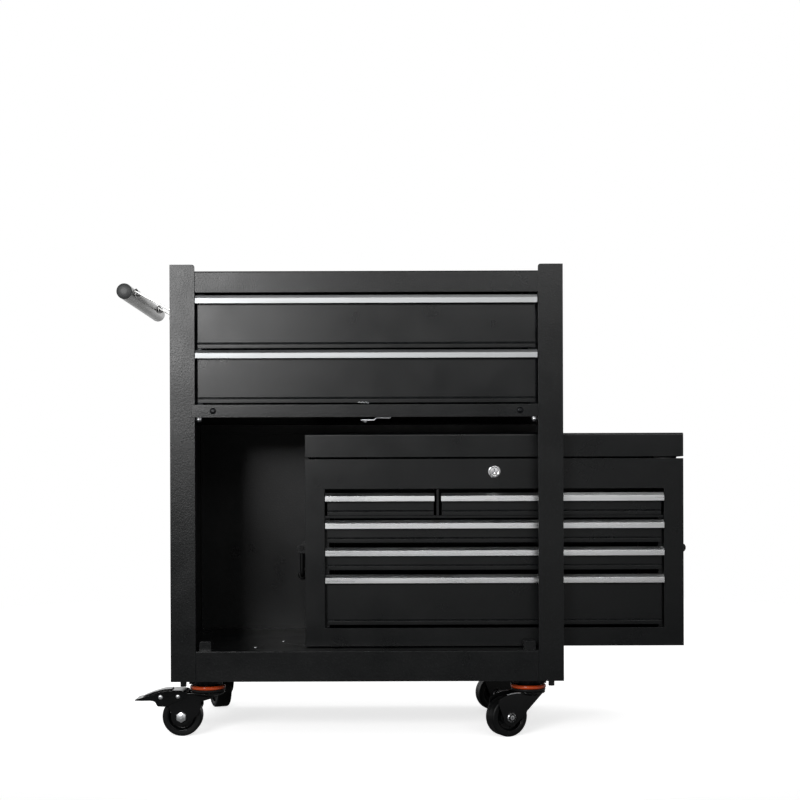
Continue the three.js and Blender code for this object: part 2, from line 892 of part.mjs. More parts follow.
function casterFork(braked) {
  const legs = ends.map((side) => alongY(forkLegOutline(), side * legInner, side * legOuter));
  const bore = caster.kingpin + gap;
  const crown = revolved([
    [bore, crownZ - fork.crownFlatDrop],
    [fork.crownFlat, crownZ - fork.crownFlatDrop],
    [fork.crownNeck, crownZ - fork.crownNeckDrop],
    [fork.crownRadius, crownZ - fork.crownEdge],
    [fork.crownRadius, crownZ],
    [bore, crownZ],
  ], ringSides);
  const nutSide = braked ? 1 : -1;
  const sunk = legOuter - fork.gauge / 2;
  const axle = alongY(circle(caster.lead, axleZ, fork.axleRadius, rodSides), -sunk, sunk);
  const nutOutline = circle(caster.lead, axleZ, fork.nutAcross, 6);
  const nut = alongY(nutOutline, nutSide * sunk, nutSide * (legOuter + fork.nutHeight));
  const headWay = unitY.clone().multiplyScalar(-nutSide);
  const head = dome(fork.headRadius, fork.headHeight, headWay, [caster.lead, -nutSide * legOuter, axleZ]);
  const body = joined([...legs, crown, axle, nut, head]);
  if (!braked) return body;
  const pinHole = circle(pedal.pivotReach, pivotZ, pedal.pinRadius + gap, pinSides);
  return body.subtract(alongY(pinHole, -legOuter - overrun, legOuter + overrun));
}

// Tread, rim, web and hub in one turned profile about the axle
function casterWheel() {
  const half = [
    [fork.axleRadius + gap, wheel.hubWidth / 2],
    [wheel.hubRadius, wheel.hubWidth / 2],
    [wheel.webInner, wheel.webWidth / 2],
    [wheel.rimInner, wheel.webWidth / 2],
    [wheel.tyreInner, wheel.width / 2],
    [wheel.radius - wheel.shoulder, wheel.width / 2],
    [wheel.radius, wheel.width / 2 - wheel.shoulder],
  ];
  const mirrored = half.map(([radius, height]) => [radius, -height]).reverse();
  return revolved([...half, ...mirrored], wheelSides, unitY);
}

// Foot pedal: an arched cover with two cheeks outside the fork legs and a shoe over the tread
function brakePedal() {
  const point = (reach, rise) => new THREE.Vector2(reach, crownZ + rise);
  const start = point(pedal.start, pedal.startRise);
  const crest = point(pedal.crest, pedal.crestRise);
  const tip = point(pedal.tip, -pedal.tipDrop);
  const rise = new THREE.QuadraticBezierCurve(start, point((pedal.start + pedal.crest) / 2, pedal.crestRise), crest);
  const fall = new THREE.QuadraticBezierCurve(crest, point(pedal.brow, pedal.browRise), tip);
  const arch = [...rise.getPoints(bendSteps), ...fall.getPoints(2 * bendSteps).slice(1)];
  const top = arch.map((spot) => spot.toArray());
  const cheek = [
    [pedal.tip, crownZ - pedal.lipDrop],
    [pedal.lip, crownZ - pedal.lipDrop],
    [pedal.cheekFoot, crownZ - pedal.cheekDrop],
    [pedal.cheekHeel, crownZ - pedal.cheekDrop],
    [pedal.cheekThroat, crownZ - pedal.cheekThroatDrop],
    [pedal.start, crownZ],
  ];
  const outer = alongY([...top, ...cheek], -cheekOuter, cheekOuter);
  const low = crownZ - pedal.cheekDrop - overrun;
  const ceiling = top.map(([reach, height]) => [reach, height - pedal.gauge]);
  const under = [
    [pedal.start - overrun, low],
    [pedal.start - overrun, ceiling[0][1]],
    ...ceiling,
    [pedal.tip + overrun, ceiling.at(-1)[1]],
    [pedal.tip + overrun, low],
  ];
  const hollow = alongY(under, -legOuter - gap, legOuter + gap);
  const shoeBlock = slab(
    [pedal.shoeReach - pedal.shoeLength / 2, pedal.shoeReach + pedal.shoeLength / 2],
    [-pedal.shoeWidth / 2, pedal.shoeWidth / 2],
    [crownZ - pedal.shoeDrop, caster.height],
  );
  const fittings = ends.flatMap((side) => {
    const toSide = unitY.clone().multiplyScalar(side);
    const pinOutline = circle(pedal.pivotReach, pivotZ, pedal.pinRadius, pinSides);
    const rivetZ = crownZ - pedal.rivetDrop;
    return [
      alongY(pinOutline, side * legInner, side * (cheekOuter - pedal.gauge / 2)),
      dome(pedal.rivetRadius, pedal.rivetHeight, toSide, [pedal.pivotReach, side * cheekOuter, pivotZ]),
      dome(pedal.rivetRadius, pedal.rivetHeight, toSide, [pedal.rivetReach, side * cheekOuter, rivetZ]),
    ];
  });
  return joined([outer.subtract(hollow), shoeBlock.intersect(outer), ...fittings]);
}

// Corners: where each caster stands, which way it trails in degrees, and whether it has a brake
const corners = [
  { name: 'front_left', x: -1, y: -1, heading: 180, braked: true },
  { name: 'front_right', x: 1, y: -1, heading: 204, braked: false },
  { name: 'rear_left', x: -1, y: 1, heading: 113, braked: true },
  { name: 'rear_right', x: 1, y: 1, heading: 195, braked: false },
];

function addCaster(parent, { name, x, y, heading, braked }) {
  const fixed = new THREE.Group();
  fixed.position.set(x * (sideX - caster.insetX), y * (backY - caster.insetY), 0);
  piece(fixed, `caster_plate_${name}`, casterPlate(), zinc());
  const swivel = new THREE.Group();
  swivel.rotation.z = THREE.MathUtils.degToRad(heading);
  piece(swivel, `swivel_seal_${name}`, swivelSeal(), orangePlastic());
  piece(swivel, `fork_${name}`, casterFork(braked), glossEnamel());
  const wheelMesh = piece(swivel, `wheel_${name}`, casterWheel(), rubber());
  wheelMesh.position.set(caster.lead, 0, axleZ);
  wheelMesh.rotation.y = Math.PI / wheelSides;
  if (braked) piece(swivel, `brake_pedal_${name}`, brakePedal(), glossEnamel());
  fixed.add(swivel);
  parent.add(fixed);
}

// Chest: case with its slides, bail ears, feet and hinge knuckles
function hingeKnuckles(first, leafWay) {
  const pitch = hinge.length / hinge.count;
  const solids = [];
  for (let index = first; index < hinge.count; index += 2) {
    const from = -hinge.length / 2 + index * pitch + hinge.play / 2;
    const to = from + pitch - hinge.play;
    const barrel = alongX(circle(hingeY, hingeZ, hinge.knuckle, pinSides), from, to);
    const leafEnd = hingeZ + leafWay * hinge.leaf;
    const low = Math.min(hingeZ, leafEnd);
    const high = Math.max(hingeZ, leafEnd);
    const leaf = slab([from, to], [chestBack - chest.sheet / 2, chestBack + hinge.gauge], [low, high]);
    const bore = alongX(circle(hingeY, hingeZ, hinge.rod + gap, pinSides), from - overrun, to + overrun);
    solids.push(barrel.add(leaf).subtract(bore));
  }
  return solids;
}

function bailMount(side) {
  const wall = chestHalf - chest.sheet / 2;
  const axisX = chestHalf + bail.standOff;
  const earNear = bail.halfWidth + bail.rod + bail.earPlay;
  const earFar = earNear + bail.earGauge;
  const reach = earFar + bail.plateMargin;
  const low = bail.pivotHeight - bail.plateHeight / 2;
  const plate = slab(flippedRange(wall, chestHalf + bail.plateGauge, side), [-reach, reach], [low, low + bail.plateHeight]);
  const ears = ends.map((end) => {
    const web = rectangle(wall, axisX, bail.pivotHeight - bail.earRadius, bail.pivotHeight + bail.earRadius);
    const tip = circle(axisX, bail.pivotHeight, bail.earRadius, rodSides);
    return [web, tip].map((outline) => alongY(flipped(outline, side), end * earNear, end * earFar));
  });
  const bore = circle(side * axisX, bail.pivotHeight, bail.rod + gap, pinSides);
  return joined([plate, ...ears.flat()]).subtract(alongY(bore, -reach, reach));
}

function chestCase() {
  const path = [
    [-chestHalf + chest.topHem, bodyTop],
    [-chestHalf, bodyTop],
    [-chestHalf, 0],
    [chestHalf, 0],
    [chestHalf, bodyTop],
    [chestHalf - chest.topHem, bodyTop],
  ];
  const wrap = alongY(folded(path, chest.sheet), chestFront + chest.sheet + gap, chestBack);
  const back = slab([-chestHalf, chestHalf], [chestBack - chest.sheet, chestBack], [0, bodyTop]);
  const footX = chestHalf - chest.footInset;
  const footY = chestBack - chest.footInset;
  const feet = ends.flatMap((x) => ends.map((y) => (
    alongZ(circle(x * footX, y * footY, chest.footRadius, pinSides), -chest.foot, chest.sheet / 2)
  )));
  const trayHalf = openHalf - chestDrawer.trayInset;
  const wall = chestHalf - chest.sheet / 2;
  const high = shelfZ - divider.sheet - gap;
  const slides = ends.flatMap((side) => [
    ...slideUprights(trayHalf, wall, chestSlide, chestFront, chest.sheet / 2, high, side),
    ...[1, 2, 3].map((row) => {
      const bottom = (row === rows.lowCount ? chest.bottomRail + rows.below : rowBottom(row)) + chestSlide.lift;
      return slideChannel(trayHalf, bottom, chestSlide, chestFront + chestSlide.frontSetback, side);
    }),
  ]);
  return joined([wrap, back, ...feet, ...slides, ...ends.map(bailMount), ...hingeKnuckles(0, -1)]);
}

// Front frame: flat sheet with the drawer opening, a collar turned in round it and the lock hole
const lockZ = bodyTop - lock.drop;

function frontFrame() {
  const backOfSheet = chestFront + chest.sheet;
  const plate = alongY(rectangle(-chestHalf, chestHalf, 0, bodyTop), chestFront, backOfSheet);
  const edge = chest.sheet;
  const collar = alongY(
    rectangle(-openHalf - edge, openHalf + edge, chest.bottomRail - edge, openTop + edge),
    chestFront + edge / 2,
    backOfSheet + chest.collar,
  );
  const opening = alongY(
    rectangle(-openHalf, openHalf, chest.bottomRail, openTop),
    chestFront - overrun,
    backOfSheet + chest.collar + overrun,
  );
  const lockHole = circle(0, lockZ, lock.barrel + gap, rodSides);
  return cut(plate.add(collar), [opening, alongY(lockHole, chestFront - overrun, backOfSheet + overrun)]);
}

function tillFloor() {
  const nearY = chestFront + chest.sheet + gap;
  const farY = chestBack - chest.sheet - gap;
  const low = openTop + chest.sheet + gap;
  const path = [[nearY, low + till.flange], [nearY, low], [farY, low], [farY, low + till.flange]];
  return alongX(folded(path, chest.sheet), -chestInner, chestInner);
}

// Shelf under the three small drawers, with an upright between each two of them
const cellWidth = (2 * openHalf) / rows.across;

function dividerShelf() {
  const collarY = chestFront + chest.sheet + chest.collar + gap;
  const farY = chestBack - chest.sheet - gap;
  const nearY = faceY + divider.setIn;
  const tonguePath = [[collarY + overrun, shelfZ], [nearY, shelfZ], [nearY, shelfZ - divider.hem]];
  const tongue = alongX(folded(tonguePath, divider.sheet), -openHalf + gap, openHalf - gap);
  const shelf = slab([-chestInner, chestInner], [collarY, farY], [shelfZ - divider.sheet, shelfZ]);
  const rearY = chestBack - divider.rearSpace;
  const half = divider.strip / 2;
  const uprights = Array.from({ length: rows.across - 1 }, (_, index) => {
    const x = -openHalf + (index + 1) * cellWidth;
    const path = [[x - half, rearY], [x - half, faceY], [x + half, faceY], [x + half, rearY]];
    return alongZ(folded(path, divider.sheet), shelfZ - divider.sheet / 2, openTop - divider.topGap);
  });
  return joined([tongue, shelf, ...uprights]);
}

function chestLid() {
  const outline = rounded([
    [chestFront, lidZ],
    [chestBack, lidZ],
    [chestBack, lidTop],
    [chestFront, lidTop, chest.lidCorner],
  ]);
  const shell = alongX(outline, -chestHalf, chestHalf);
  const innerX = chestHalf - chest.sheet;
  const cavity = slab(
    [-innerX, innerX],
    [chestFront + chest.sheet, chestBack - chest.sheet],
    [lidZ - overrun, lidTop - chest.sheet],
  );
  return joined([shell.subtract(cavity), ...hingeKnuckles(1, 1)]);
}

function lockCylinder() {
  const toFront = unitY.clone().negate();
  const body = revolved([
    [0, -lock.length],
    [lock.barrel, -lock.length],
    [lock.barrel, gap],
    [lock.radius, gap],
    [lock.radius, lock.proud - lock.edge],
    [lock.radius - lock.edge, lock.proud],
    [0, lock.proud],
  ], rodSides, toFront, [0, chestFront, lockZ]);
  const face = chestFront - lock.proud;
  const slot = slab(
    [-lock.slotWidth / 2, lock.slotWidth / 2],
    [face - overrun, face + lock.slotDepth],
    [lockZ - lock.slotHeight / 2, lockZ + lock.slotHeight / 2],
  );
  return body.subtract(slot);
}

// Drop handle on each end: a bent rod in two ears, with a thick grip
function sideBail() {
  const outer = bail.halfWidth + bail.stub;
  const rod = bentRod([
    [-outer, 0],
    [-bail.halfWidth, 0, bail.stubBend],
    [-bail.halfWidth, -bail.drop, bail.bend],
    [bail.halfWidth, -bail.drop, bail.bend],
    [bail.halfWidth, 0, bail.stubBend],
    [outer, 0],
  ], bail.rod);
  const grip = revolved([
    [0, -bail.gripHalf],
    [bail.grip - bail.gripEdge, -bail.gripHalf],
    [bail.grip, -bail.gripHalf + bail.gripEdge],
    [bail.grip, bail.gripHalf - bail.gripEdge],
    [bail.grip - bail.gripEdge, bail.gripHalf],
    [0, bail.gripHalf],
  ], rodSides, unitY, [0, 0, -bail.drop]);
  return rod.add(grip);
}

// Drawers of the chest: three small ones across the top, then two low ones and a tall one
function addSmallDrawers(parent) {
  ['left', 'middle', 'right'].forEach((name, index) => {
    const cell = [-openHalf + index * cellWidth, -openHalf + (index + 1) * cellWidth];
    const atFrame = [index === 0, index === rows.across - 1];
    const faceGap = atFrame.map((frame) => (frame ? chestDrawer.sideGap : divider.gap / 2 + chestDrawer.pullInset));
    const pullGap = atFrame.map((frame) => (frame ? chestDrawer.pullInset : divider.gap / 2));
    const face = [cell[0] + faceGap[0], cell[1] - faceGap[1]];
    const strip = [cell[0] + pullGap[0], cell[1] - pullGap[1]];
    const middle = (face[0] + face[1]) / 2;
    const faceHalf = (face[1] - face[0]) / 2;
    const body = drawer({
      size: chestDrawer,
      faceHalf,
      front: rows.low,
      trayHalf: faceHalf - chestDrawer.smallTrayInset,
      lift: 0,
    });
    const pullSolid = pullStrip(strip[0] - middle, strip[1] - middle, rows.low);
    addDrawer(parent, `small_drawer_${name}`, [middle, faceY, rowBottom(0)], { body, pull: pullSolid });
  });
}

function addWideDrawers(parent) {
  const trayHalf = openHalf - chestDrawer.trayInset;
  const pullHalf = openHalf - chestDrawer.pullInset;
  [
    { name: 'chest_drawer_upper', front: rows.low, bottom: rowBottom(1) },
    { name: 'chest_drawer_middle', front: rows.low, bottom: rowBottom(2) },
    { name: 'chest_drawer_bottom', front: rows.tall, bottom: chest.bottomRail + rows.below },
  ].forEach(({ name, front, bottom }) => {
    const body = drawer({
      size: chestDrawer,
      faceHalf: openHalf - chestDrawer.sideGap,
      front,
      trayHalf,
      lift: chestDrawer.trayLift,
      rail: chestSlide,
      railStart: chestFront + chestSlide.frontSetback - faceY,
    });
    addDrawer(parent, name, [0, faceY, bottom], { body, pull: pullStrip(-pullHalf, pullHalf, front) });
  });
}

function addChest(parent) {
  const group = new THREE.Group();
  group.position.set(chest.offset, chestY, chestZ);
  piece(group, 'chest_case', chestCase(), powderCoat());
  piece(group, 'chest_front_frame', frontFrame(), powderCoat());
  piece(group, 'chest_till_floor', tillFloor(), powderCoat());
  piece(group, 'chest_divider_shelf', dividerShelf(), satinEnamel());
  piece(group, 'chest_lid', chestLid(), powderCoat());
  const rod = alongX(circle(hingeY, hingeZ, hinge.rod, pinSides), -hinge.length / 2, hinge.length / 2);
  piece(group, 'lid_hinge_rod', rod, zinc());
  piece(group, 'lock_cylinder', lockCylinder(), chrome());
  ends.forEach((side) => {
    const handleMesh = piece(group, side < 0 ? 'bail_left' : 'bail_right', sideBail(), plastic());
    handleMesh.position.set(side * (chestHalf + bail.standOff), 0, bail.pivotHeight);
  });
  addSmallDrawers(group);
  addWideDrawers(group);
  parent.add(group);
}

function addCabinet(parent) {
  piece(parent, 'left_side_panel', sideSheet(-1), powderCoat());
  piece(parent, 'right_side_frame', sideSheet(1).subtract(sideOpening()), powderCoat());
  piece(parent, 'back_panel', backPanel(), powderCoat());
  piece(parent, 'top_panel', topPanel(), powderCoat());
  piece(parent, 'drawer_bay_floor', bayFloor(), powderCoat());
  piece(parent, 'crossbar', crossbar(), powderCoat());
  piece(parent, 'base_pan', basePan(), powderCoat());
  piece(parent, 'caster_channel_left', casterChannel(-1), powderCoat());
  piece(parent, 'caster_channel_right', casterChannel(1), powderCoat());
  piece(parent, 'door_catch_strip', catchPlate(), zinc());
  piece(parent, 'slide_frame_left', slideFrame(-1), zinc());
  piece(parent, 'slide_frame_right', slideFrame(1), zinc());
  addCabinetDrawers(parent);
  addHandle(parent);
  corners.forEach((corner) => addCaster(parent, corner));
}

// Everything is laid out round the middle of the cabinet, then moved over the common origin
const layout = new THREE.Group();
addCabinet(layout);
addChest(layout);
layout.updateMatrixWorld(true);
const bounds = new THREE.Box3().setFromObject(layout, true);
const middle = bounds.getCenter(new THREE.Vector3());
layout.position.set(-middle.x, -middle.y, -bounds.min.z);

const group = new THREE.Group();
group.add(layout);
group.updateMatrixWorld(true);

export default group;
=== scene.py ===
import json
import math

import bpy
from mathutils import Matrix, Vector

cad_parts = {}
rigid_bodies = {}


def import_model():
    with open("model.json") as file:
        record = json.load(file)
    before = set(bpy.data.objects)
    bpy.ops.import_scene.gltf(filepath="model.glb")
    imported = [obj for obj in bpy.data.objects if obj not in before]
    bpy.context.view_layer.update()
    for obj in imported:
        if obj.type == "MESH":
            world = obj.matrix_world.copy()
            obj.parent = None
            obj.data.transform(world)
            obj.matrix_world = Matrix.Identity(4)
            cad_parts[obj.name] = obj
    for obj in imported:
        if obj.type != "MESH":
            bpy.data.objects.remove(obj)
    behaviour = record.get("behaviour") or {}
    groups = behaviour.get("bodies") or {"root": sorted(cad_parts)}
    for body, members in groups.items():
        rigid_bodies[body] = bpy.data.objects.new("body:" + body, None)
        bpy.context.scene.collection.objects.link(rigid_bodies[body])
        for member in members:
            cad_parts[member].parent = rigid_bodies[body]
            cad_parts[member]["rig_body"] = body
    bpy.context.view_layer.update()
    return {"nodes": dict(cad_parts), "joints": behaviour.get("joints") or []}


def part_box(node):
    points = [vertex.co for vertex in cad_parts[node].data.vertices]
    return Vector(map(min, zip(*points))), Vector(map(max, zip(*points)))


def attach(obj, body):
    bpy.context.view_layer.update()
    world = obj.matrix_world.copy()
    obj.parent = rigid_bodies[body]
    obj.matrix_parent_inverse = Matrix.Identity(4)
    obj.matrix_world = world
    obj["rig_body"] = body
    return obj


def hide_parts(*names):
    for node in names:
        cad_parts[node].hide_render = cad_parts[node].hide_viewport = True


# Rolling tool cabinet with a drawer chest slid into its compartment: finishes, fittings, light and camera.
# The frame, the lamps and the camera are in metres. Fittings are in millimetres, which MM turns into metres.

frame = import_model()
NODES = frame["nodes"]
JOINTS = {joint["name"]: joint for joint in frame["joints"]}
MM = 0.001
UP = Vector((0, 0, 1))
BACK = Vector((0, 1, 0))
RIGHT = Vector((1, 0, 0))

MERGE_DISTANCE = 0.005 * MM
FLAT_ANGLE = math.radians(0.5)
SHARP_ANGLE = math.radians(35)
FINE_STEPS = 96
SMALL_STEPS = 40

CASTERS = ("front_left", "front_right", "rear_left", "rear_right")
BRAKED = ("front_left", "rear_left")


# Node building

def add_node(tree, kind, sockets=None, **settings):
    node = tree.nodes.new(kind)
    for name, value in settings.items():
        setattr(node, name, value)
    for socket, value in (sockets or {}).items():
        if isinstance(value, bpy.types.NodeSocket):
            tree.links.new(value, node.inputs[socket])
        else:
            node.inputs[socket].default_value = value
    return node


def start_finish(name):
    material = bpy.data.materials.new(name)
    material.use_nodes = True
    tree = material.node_tree
    place = add_node(tree, "ShaderNodeTexCoord").outputs["Object"]
    return material, tree, tree.nodes["Principled BSDF"], place


def grain(tree, place, scale, detail, stretch=None):
    if stretch:
        place = add_node(tree, "ShaderNodeMapping", {"Vector": place, "Scale": stretch}).outputs["Vector"]
    noise = add_node(tree, "ShaderNodeTexNoise", {"Vector": place, "Scale": scale, "Detail": detail})
    return noise.outputs["Fac"]


def ranged(tree, value, low, high, out_low, out_high):
    sockets = {"Value": value, "From Min": low, "From Max": high, "To Min": out_low, "To Max": out_high}
    return add_node(tree, "ShaderNodeMapRange", sockets).outputs["Result"]


def blended(tree, factor, first, second):
    mix = add_node(tree, "ShaderNodeMix", {0: factor, 6: first, 7: second}, data_type="RGBA")
    return mix.outputs[2]


def arithmetic(tree, operation, first, second):
    return add_node(tree, "ShaderNodeMath", {0: first, 1: second}, operation=operation).outputs[0]


def bumped(tree, shader, *layers):
    normal = None
    for height, depth in layers:
        sockets = {"Height": height, "Strength": 1.0, "Distance": depth}
        if normal:
            sockets["Normal"] = normal
        normal = add_node(tree, "ShaderNodeBump", sockets).outputs["Normal"]
    tree.links.new(normal, shader.inputs["Normal"])


def edge_wear_and_sheen_mask(tree):
    return add_node(tree, "ShaderNodeAttribute", attribute_name="edge").outputs["Fac"]


# Finishes: a scale counts noise blobs per metre, and a band is the stretch of a noise that is used

MIDDLE_BAND = (0.35, 0.65)
WIDE_BAND = (0.3, 0.7)

PAINT_CLOUD_SCALE = 7
FLECK_BAND = (0.56, 0.72)
FLECK_SHARE = 0.5
# Noise that spreads the lighter edges of the paints, which are partly wear and partly a painted highlight
RUB_AND_SHEEN_SCALE = 90
RUB_AND_SHEEN_BAND = (0.42, 0.62)
RUB_AND_SHEEN_SHARE = (0.1, 0.8)
HANDLED_SCALE = 16
HANDLED_POLISH = 0.035
HANDLED_HAZE = 0.045
FINE_PEEL_TIMES = 3.1
FINE_PEEL_SHARE = 1 / 3

STREAK_SCALE = 300
STREAK_SHARE = 0.6
BROAD_SCALE = 9
STREAK_POLISH = 0.07
STREAK_HAZE = 0.09

SPANGLE_SCALE = 260
HAZE_SCALE = 40
HAZE_BAND = (0.45, 0.7)
HAZE_SHARE = 0.7
ZINC_ROUGHNESS = (0.26, 0.5)
ZINC_BUMP = 0.08 * MM

MOULDED_CLOUD_SCALE = 30
SCUFF_SCALE = 120
SCUFF_STRETCH = (1, 1, 0.25)
SCUFF_BAND = (0.6, 0.75)
SCUFF_SHARE = 0.6
SCUFF_HAZE = 0.2


def painted(name, dark, light, worn, roughness, speckle, peel, specular):
    material, tree, shader, place = start_finish(name)
    clouds = ranged(tree, grain(tree, place, PAINT_CLOUD_SCALE, detail=3), *MIDDLE_BAND, 0, 1)
    base = blended(tree, clouds, dark, light)
    flecks = ranged(tree, grain(tree, place, speckle, detail=2), *FLECK_BAND, 0, FLECK_SHARE)
    flecked = blended(tree, flecks, base, worn)
    # Bevelled edges are lightened towards the worn tone, partly as wear and partly as a painted highlight
    # along the edges
    rubbed_and_sheen = ranged(tree, grain(tree, place, RUB_AND_SHEEN_SCALE, detail=4), *RUB_AND_SHEEN_BAND, *RUB_AND_SHEEN_SHARE)
    edge = arithmetic(tree, "MULTIPLY", edge_wear_and_sheen_mask(tree), rubbed_and_sheen)
    tree.links.new(blended(tree, edge, flecked, worn), shader.inputs["Base Color"])
    spread = (roughness - HANDLED_POLISH, roughness + HANDLED_HAZE)
    handled = ranged(tree, grain(tree, place, HANDLED_SCALE, detail=5), *WIDE_BAND, *spread)
    tree.links.new(handled, shader.inputs["Roughness"])
    coarse = grain(tree, place, speckle, detail=1)
    fine = grain(tree, place, speckle * FINE_PEEL_TIMES, detail=1)
    bumped(tree, shader, (coarse, peel), (fine, peel * FINE_PEEL_SHARE))
    shader.inputs["Specular IOR Level"].default_value = specular
    return material


def brushed_metal(name, dark, light, roughness, stretch, scratch):
    material, tree, shader, place = start_finish(name)
    streaks = grain(tree, place, STREAK_SCALE, detail=3, stretch=stretch)
    broad = grain(tree, place, BROAD_SCALE, detail=2)
    fine_share = arithmetic(tree, "MULTIPLY", streaks, STREAK_SHARE)
    broad_share = arithmetic(tree, "MULTIPLY", broad, 1 - STREAK_SHARE)
    tone = arithmetic(tree, "ADD", fine_share, broad_share)
    colour = blended(tree, ranged(tree, tone, *MIDDLE_BAND, 0, 1), dark, light)
    tree.links.new(colour, shader.inputs["Base Color"])
    spread = (roughness - STREAK_POLISH, roughness + STREAK_HAZE)
    tree.links.new(ranged(tree, tone, *WIDE_BAND, *spread), shader.inputs["Roughness"])
    shader.inputs["Metallic"].default_value = 1.0
    bumped(tree, shader, (streaks, scratch))
    return material


def plated_zinc(name, dark, light, dull):
    material, tree, shader, place = start_finish(name)
    cells = add_node(tree, "ShaderNodeTexVoronoi", {"Vector": place, "Scale": SPANGLE_SCALE}).outputs["Color"]
    spangle = add_node(tree, "ShaderNodeRGBToBW", {"Color": cells}).outputs["Val"]
    haze = grain(tree, place, HAZE_SCALE, detail=4)
    colour = blended(tree, ranged(tree, spangle, 0, 1, 0, 1), dark, light)
    hazed = ranged(tree, haze, *HAZE_BAND, 0, HAZE_SHARE)
    tree.links.new(blended(tree, hazed, colour, dull), shader.inputs["Base Color"])
    tree.links.new(ranged(tree, haze, *WIDE_BAND, *ZINC_ROUGHNESS), shader.inputs["Roughness"])
    shader.inputs["Metallic"].default_value = 1.0
    bumped(tree, shader, (haze, ZINC_BUMP))
    return material


def moulded(name, dark, light, worn, roughness, texture, depth, specular):
    material, tree, shader, place = start_finish(name)
    clouds = ranged(tree, grain(tree, place, MOULDED_CLOUD_SCALE, detail=3), *MIDDLE_BAND, 0, 1)
    colour = blended(tree, clouds, dark, light)
    scratched = grain(tree, place, SCUFF_SCALE, detail=5, stretch=SCUFF_STRETCH)
    scuffs = ranged(tree, scratched, *SCUFF_BAND, 0, SCUFF_SHARE)
    tree.links.new(blended(tree, scuffs, colour, worn), shader.inputs["Base Color"])
    dulled = ranged(tree, scuffs, 0, SCUFF_SHARE, roughness, roughness + SCUFF_HAZE)
    tree.links.new(dulled, shader.inputs["Roughness"])
    bumped(tree, shader, (grain(tree, place, texture, detail=2), depth))
    shader.inputs["Specular IOR Level"].default_value = specular
    return material


# Tones of the finishes, from dark to light and then worn or dull; the paints' worn tone also lightens their
# edges as a painted highlight

PAINT_TONES = ((0.0018, 0.0022, 0.0025, 1), (0.0027, 0.0032, 0.0035, 1), (0.01, 0.0115, 0.0124, 1))
GLOSS_TONES = ((0.0018, 0.002, 0.0022, 1), (0.003, 0.0033, 0.0036, 1), (0.008, 0.008, 0.008, 1))
BRIGHT_TONES = ((0.84, 0.85, 0.86, 1), (0.93, 0.94, 0.94, 1))
SATIN_TONES = ((0.39, 0.4, 0.41, 1), (0.47, 0.48, 0.48, 1))
TUBE_TONES = ((0.34, 0.34, 0.34, 1), (0.42, 0.42, 0.41, 1))
CHROME_TONES = ((0.84, 0.85, 0.86, 1), (0.93, 0.93, 0.94, 1))
ZINC_TONES = ((0.56, 0.58, 0.6, 1), (0.8, 0.81, 0.82, 1), (0.4, 0.41, 0.41, 1))
BLACK_ZINC_TONES = ((0.016, 0.017, 0.019, 1), (0.03, 0.031, 0.033, 1), (0.011, 0.0115, 0.012, 1))
RUBBER_TONES = ((0.0028, 0.003, 0.0033, 1), (0.0045, 0.0048, 0.005, 1), (0.012, 0.012, 0.0115, 1))
PLASTIC_TONES = ((0.026, 0.0275, 0.029, 1), (0.035, 0.036, 0.037, 1), (0.055, 0.055, 0.055, 1))
GRIP_TONES = ((0.003, 0.0033, 0.0036, 1), (0.005, 0.0053, 0.0056, 1), (0.012, 0.012, 0.012, 1))
ORANGE_TONES = ((0.42, 0.05, 0.009, 1), (0.55, 0.075, 0.014, 1), (0.24, 0.045, 0.02, 1))
ALONG_X = (0.02, 1, 1)
ALONG_Y = (1, 0.02, 1)
EVEN = (1, 1, 1)

POWDER = painted("powder_coat", *PAINT_TONES, roughness=0.3, speckle=420, peel=0.13 * MM, specular=0.35)
SATIN = painted("satin_enamel", *PAINT_TONES, roughness=0.3, speckle=900, peel=0.05 * MM, specular=0.35)
GLOSS = moulded("gloss_enamel", *GLOSS_TONES, roughness=0.16, texture=500, depth=0.03 * MM, specular=0.35)
ALUMINIUM = brushed_metal("aluminium", *BRIGHT_TONES, roughness=0.27, stretch=ALONG_X, scratch=0.002 * MM)
SATIN_ALUMINIUM = brushed_metal("satin_aluminium", *SATIN_TONES, roughness=0.5, stretch=ALONG_X,
                                scratch=0.04 * MM)
TUBE = brushed_metal("satin_tube", *TUBE_TONES, roughness=0.36, stretch=ALONG_Y, scratch=0.03 * MM)
CHROME = brushed_metal("chrome", *CHROME_TONES, roughness=0.14, stretch=EVEN, scratch=0.01 * MM)
ZINC = plated_zinc("zinc", *ZINC_TONES)
BLACK_ZINC = plated_zinc("black_zinc", *BLACK_ZINC_TONES)
RUBBER = moulded("rubber", *RUBBER_TONES, roughness=0.42, texture=700, depth=0.06 * MM, specular=0.18)
PLASTIC = moulded("plastic", *PLASTIC_TONES, roughness=0.45, texture=900, depth=0.06 * MM, specular=0.5)
GRIP = moulded("grip_plastic", *GRIP_TONES, roughness=0.3, texture=900, depth=0.04 * MM, specular=0.3)
ORANGE = moulded("orange_plastic", *ORANGE_TONES, roughness=0.18, texture=400, depth=0.03 * MM, specular=0.5)


# Modelling helpers

FLAT_FACE_WEIGHT = 80


def choose(piece):
    bpy.ops.object.select_all(action="DESELECT")
    piece.select_set(True)
    bpy.context.view_layer.objects.active = piece


def apply_all(piece):
    choose(piece)
    for modifier in list(piece.modifiers):
        bpy.ops.object.modifier_apply(modifier=modifier.name)


def edit(piece):
    choose(piece)
    bpy.ops.object.mode_set(mode="EDIT")
    bpy.ops.mesh.select_all(action="SELECT")


def leave_edit():
    bpy.ops.object.mode_set(mode="OBJECT")


def merge(pieces):
    choose(pieces[0])
    for other in pieces[1:]:
        other.select_set(True)
    bpy.ops.object.join()
    return pieces[0]


def set_finish(piece, *finishes):
    piece.data.materials.clear()
    for finish in finishes:
        piece.data.materials.append(finish)


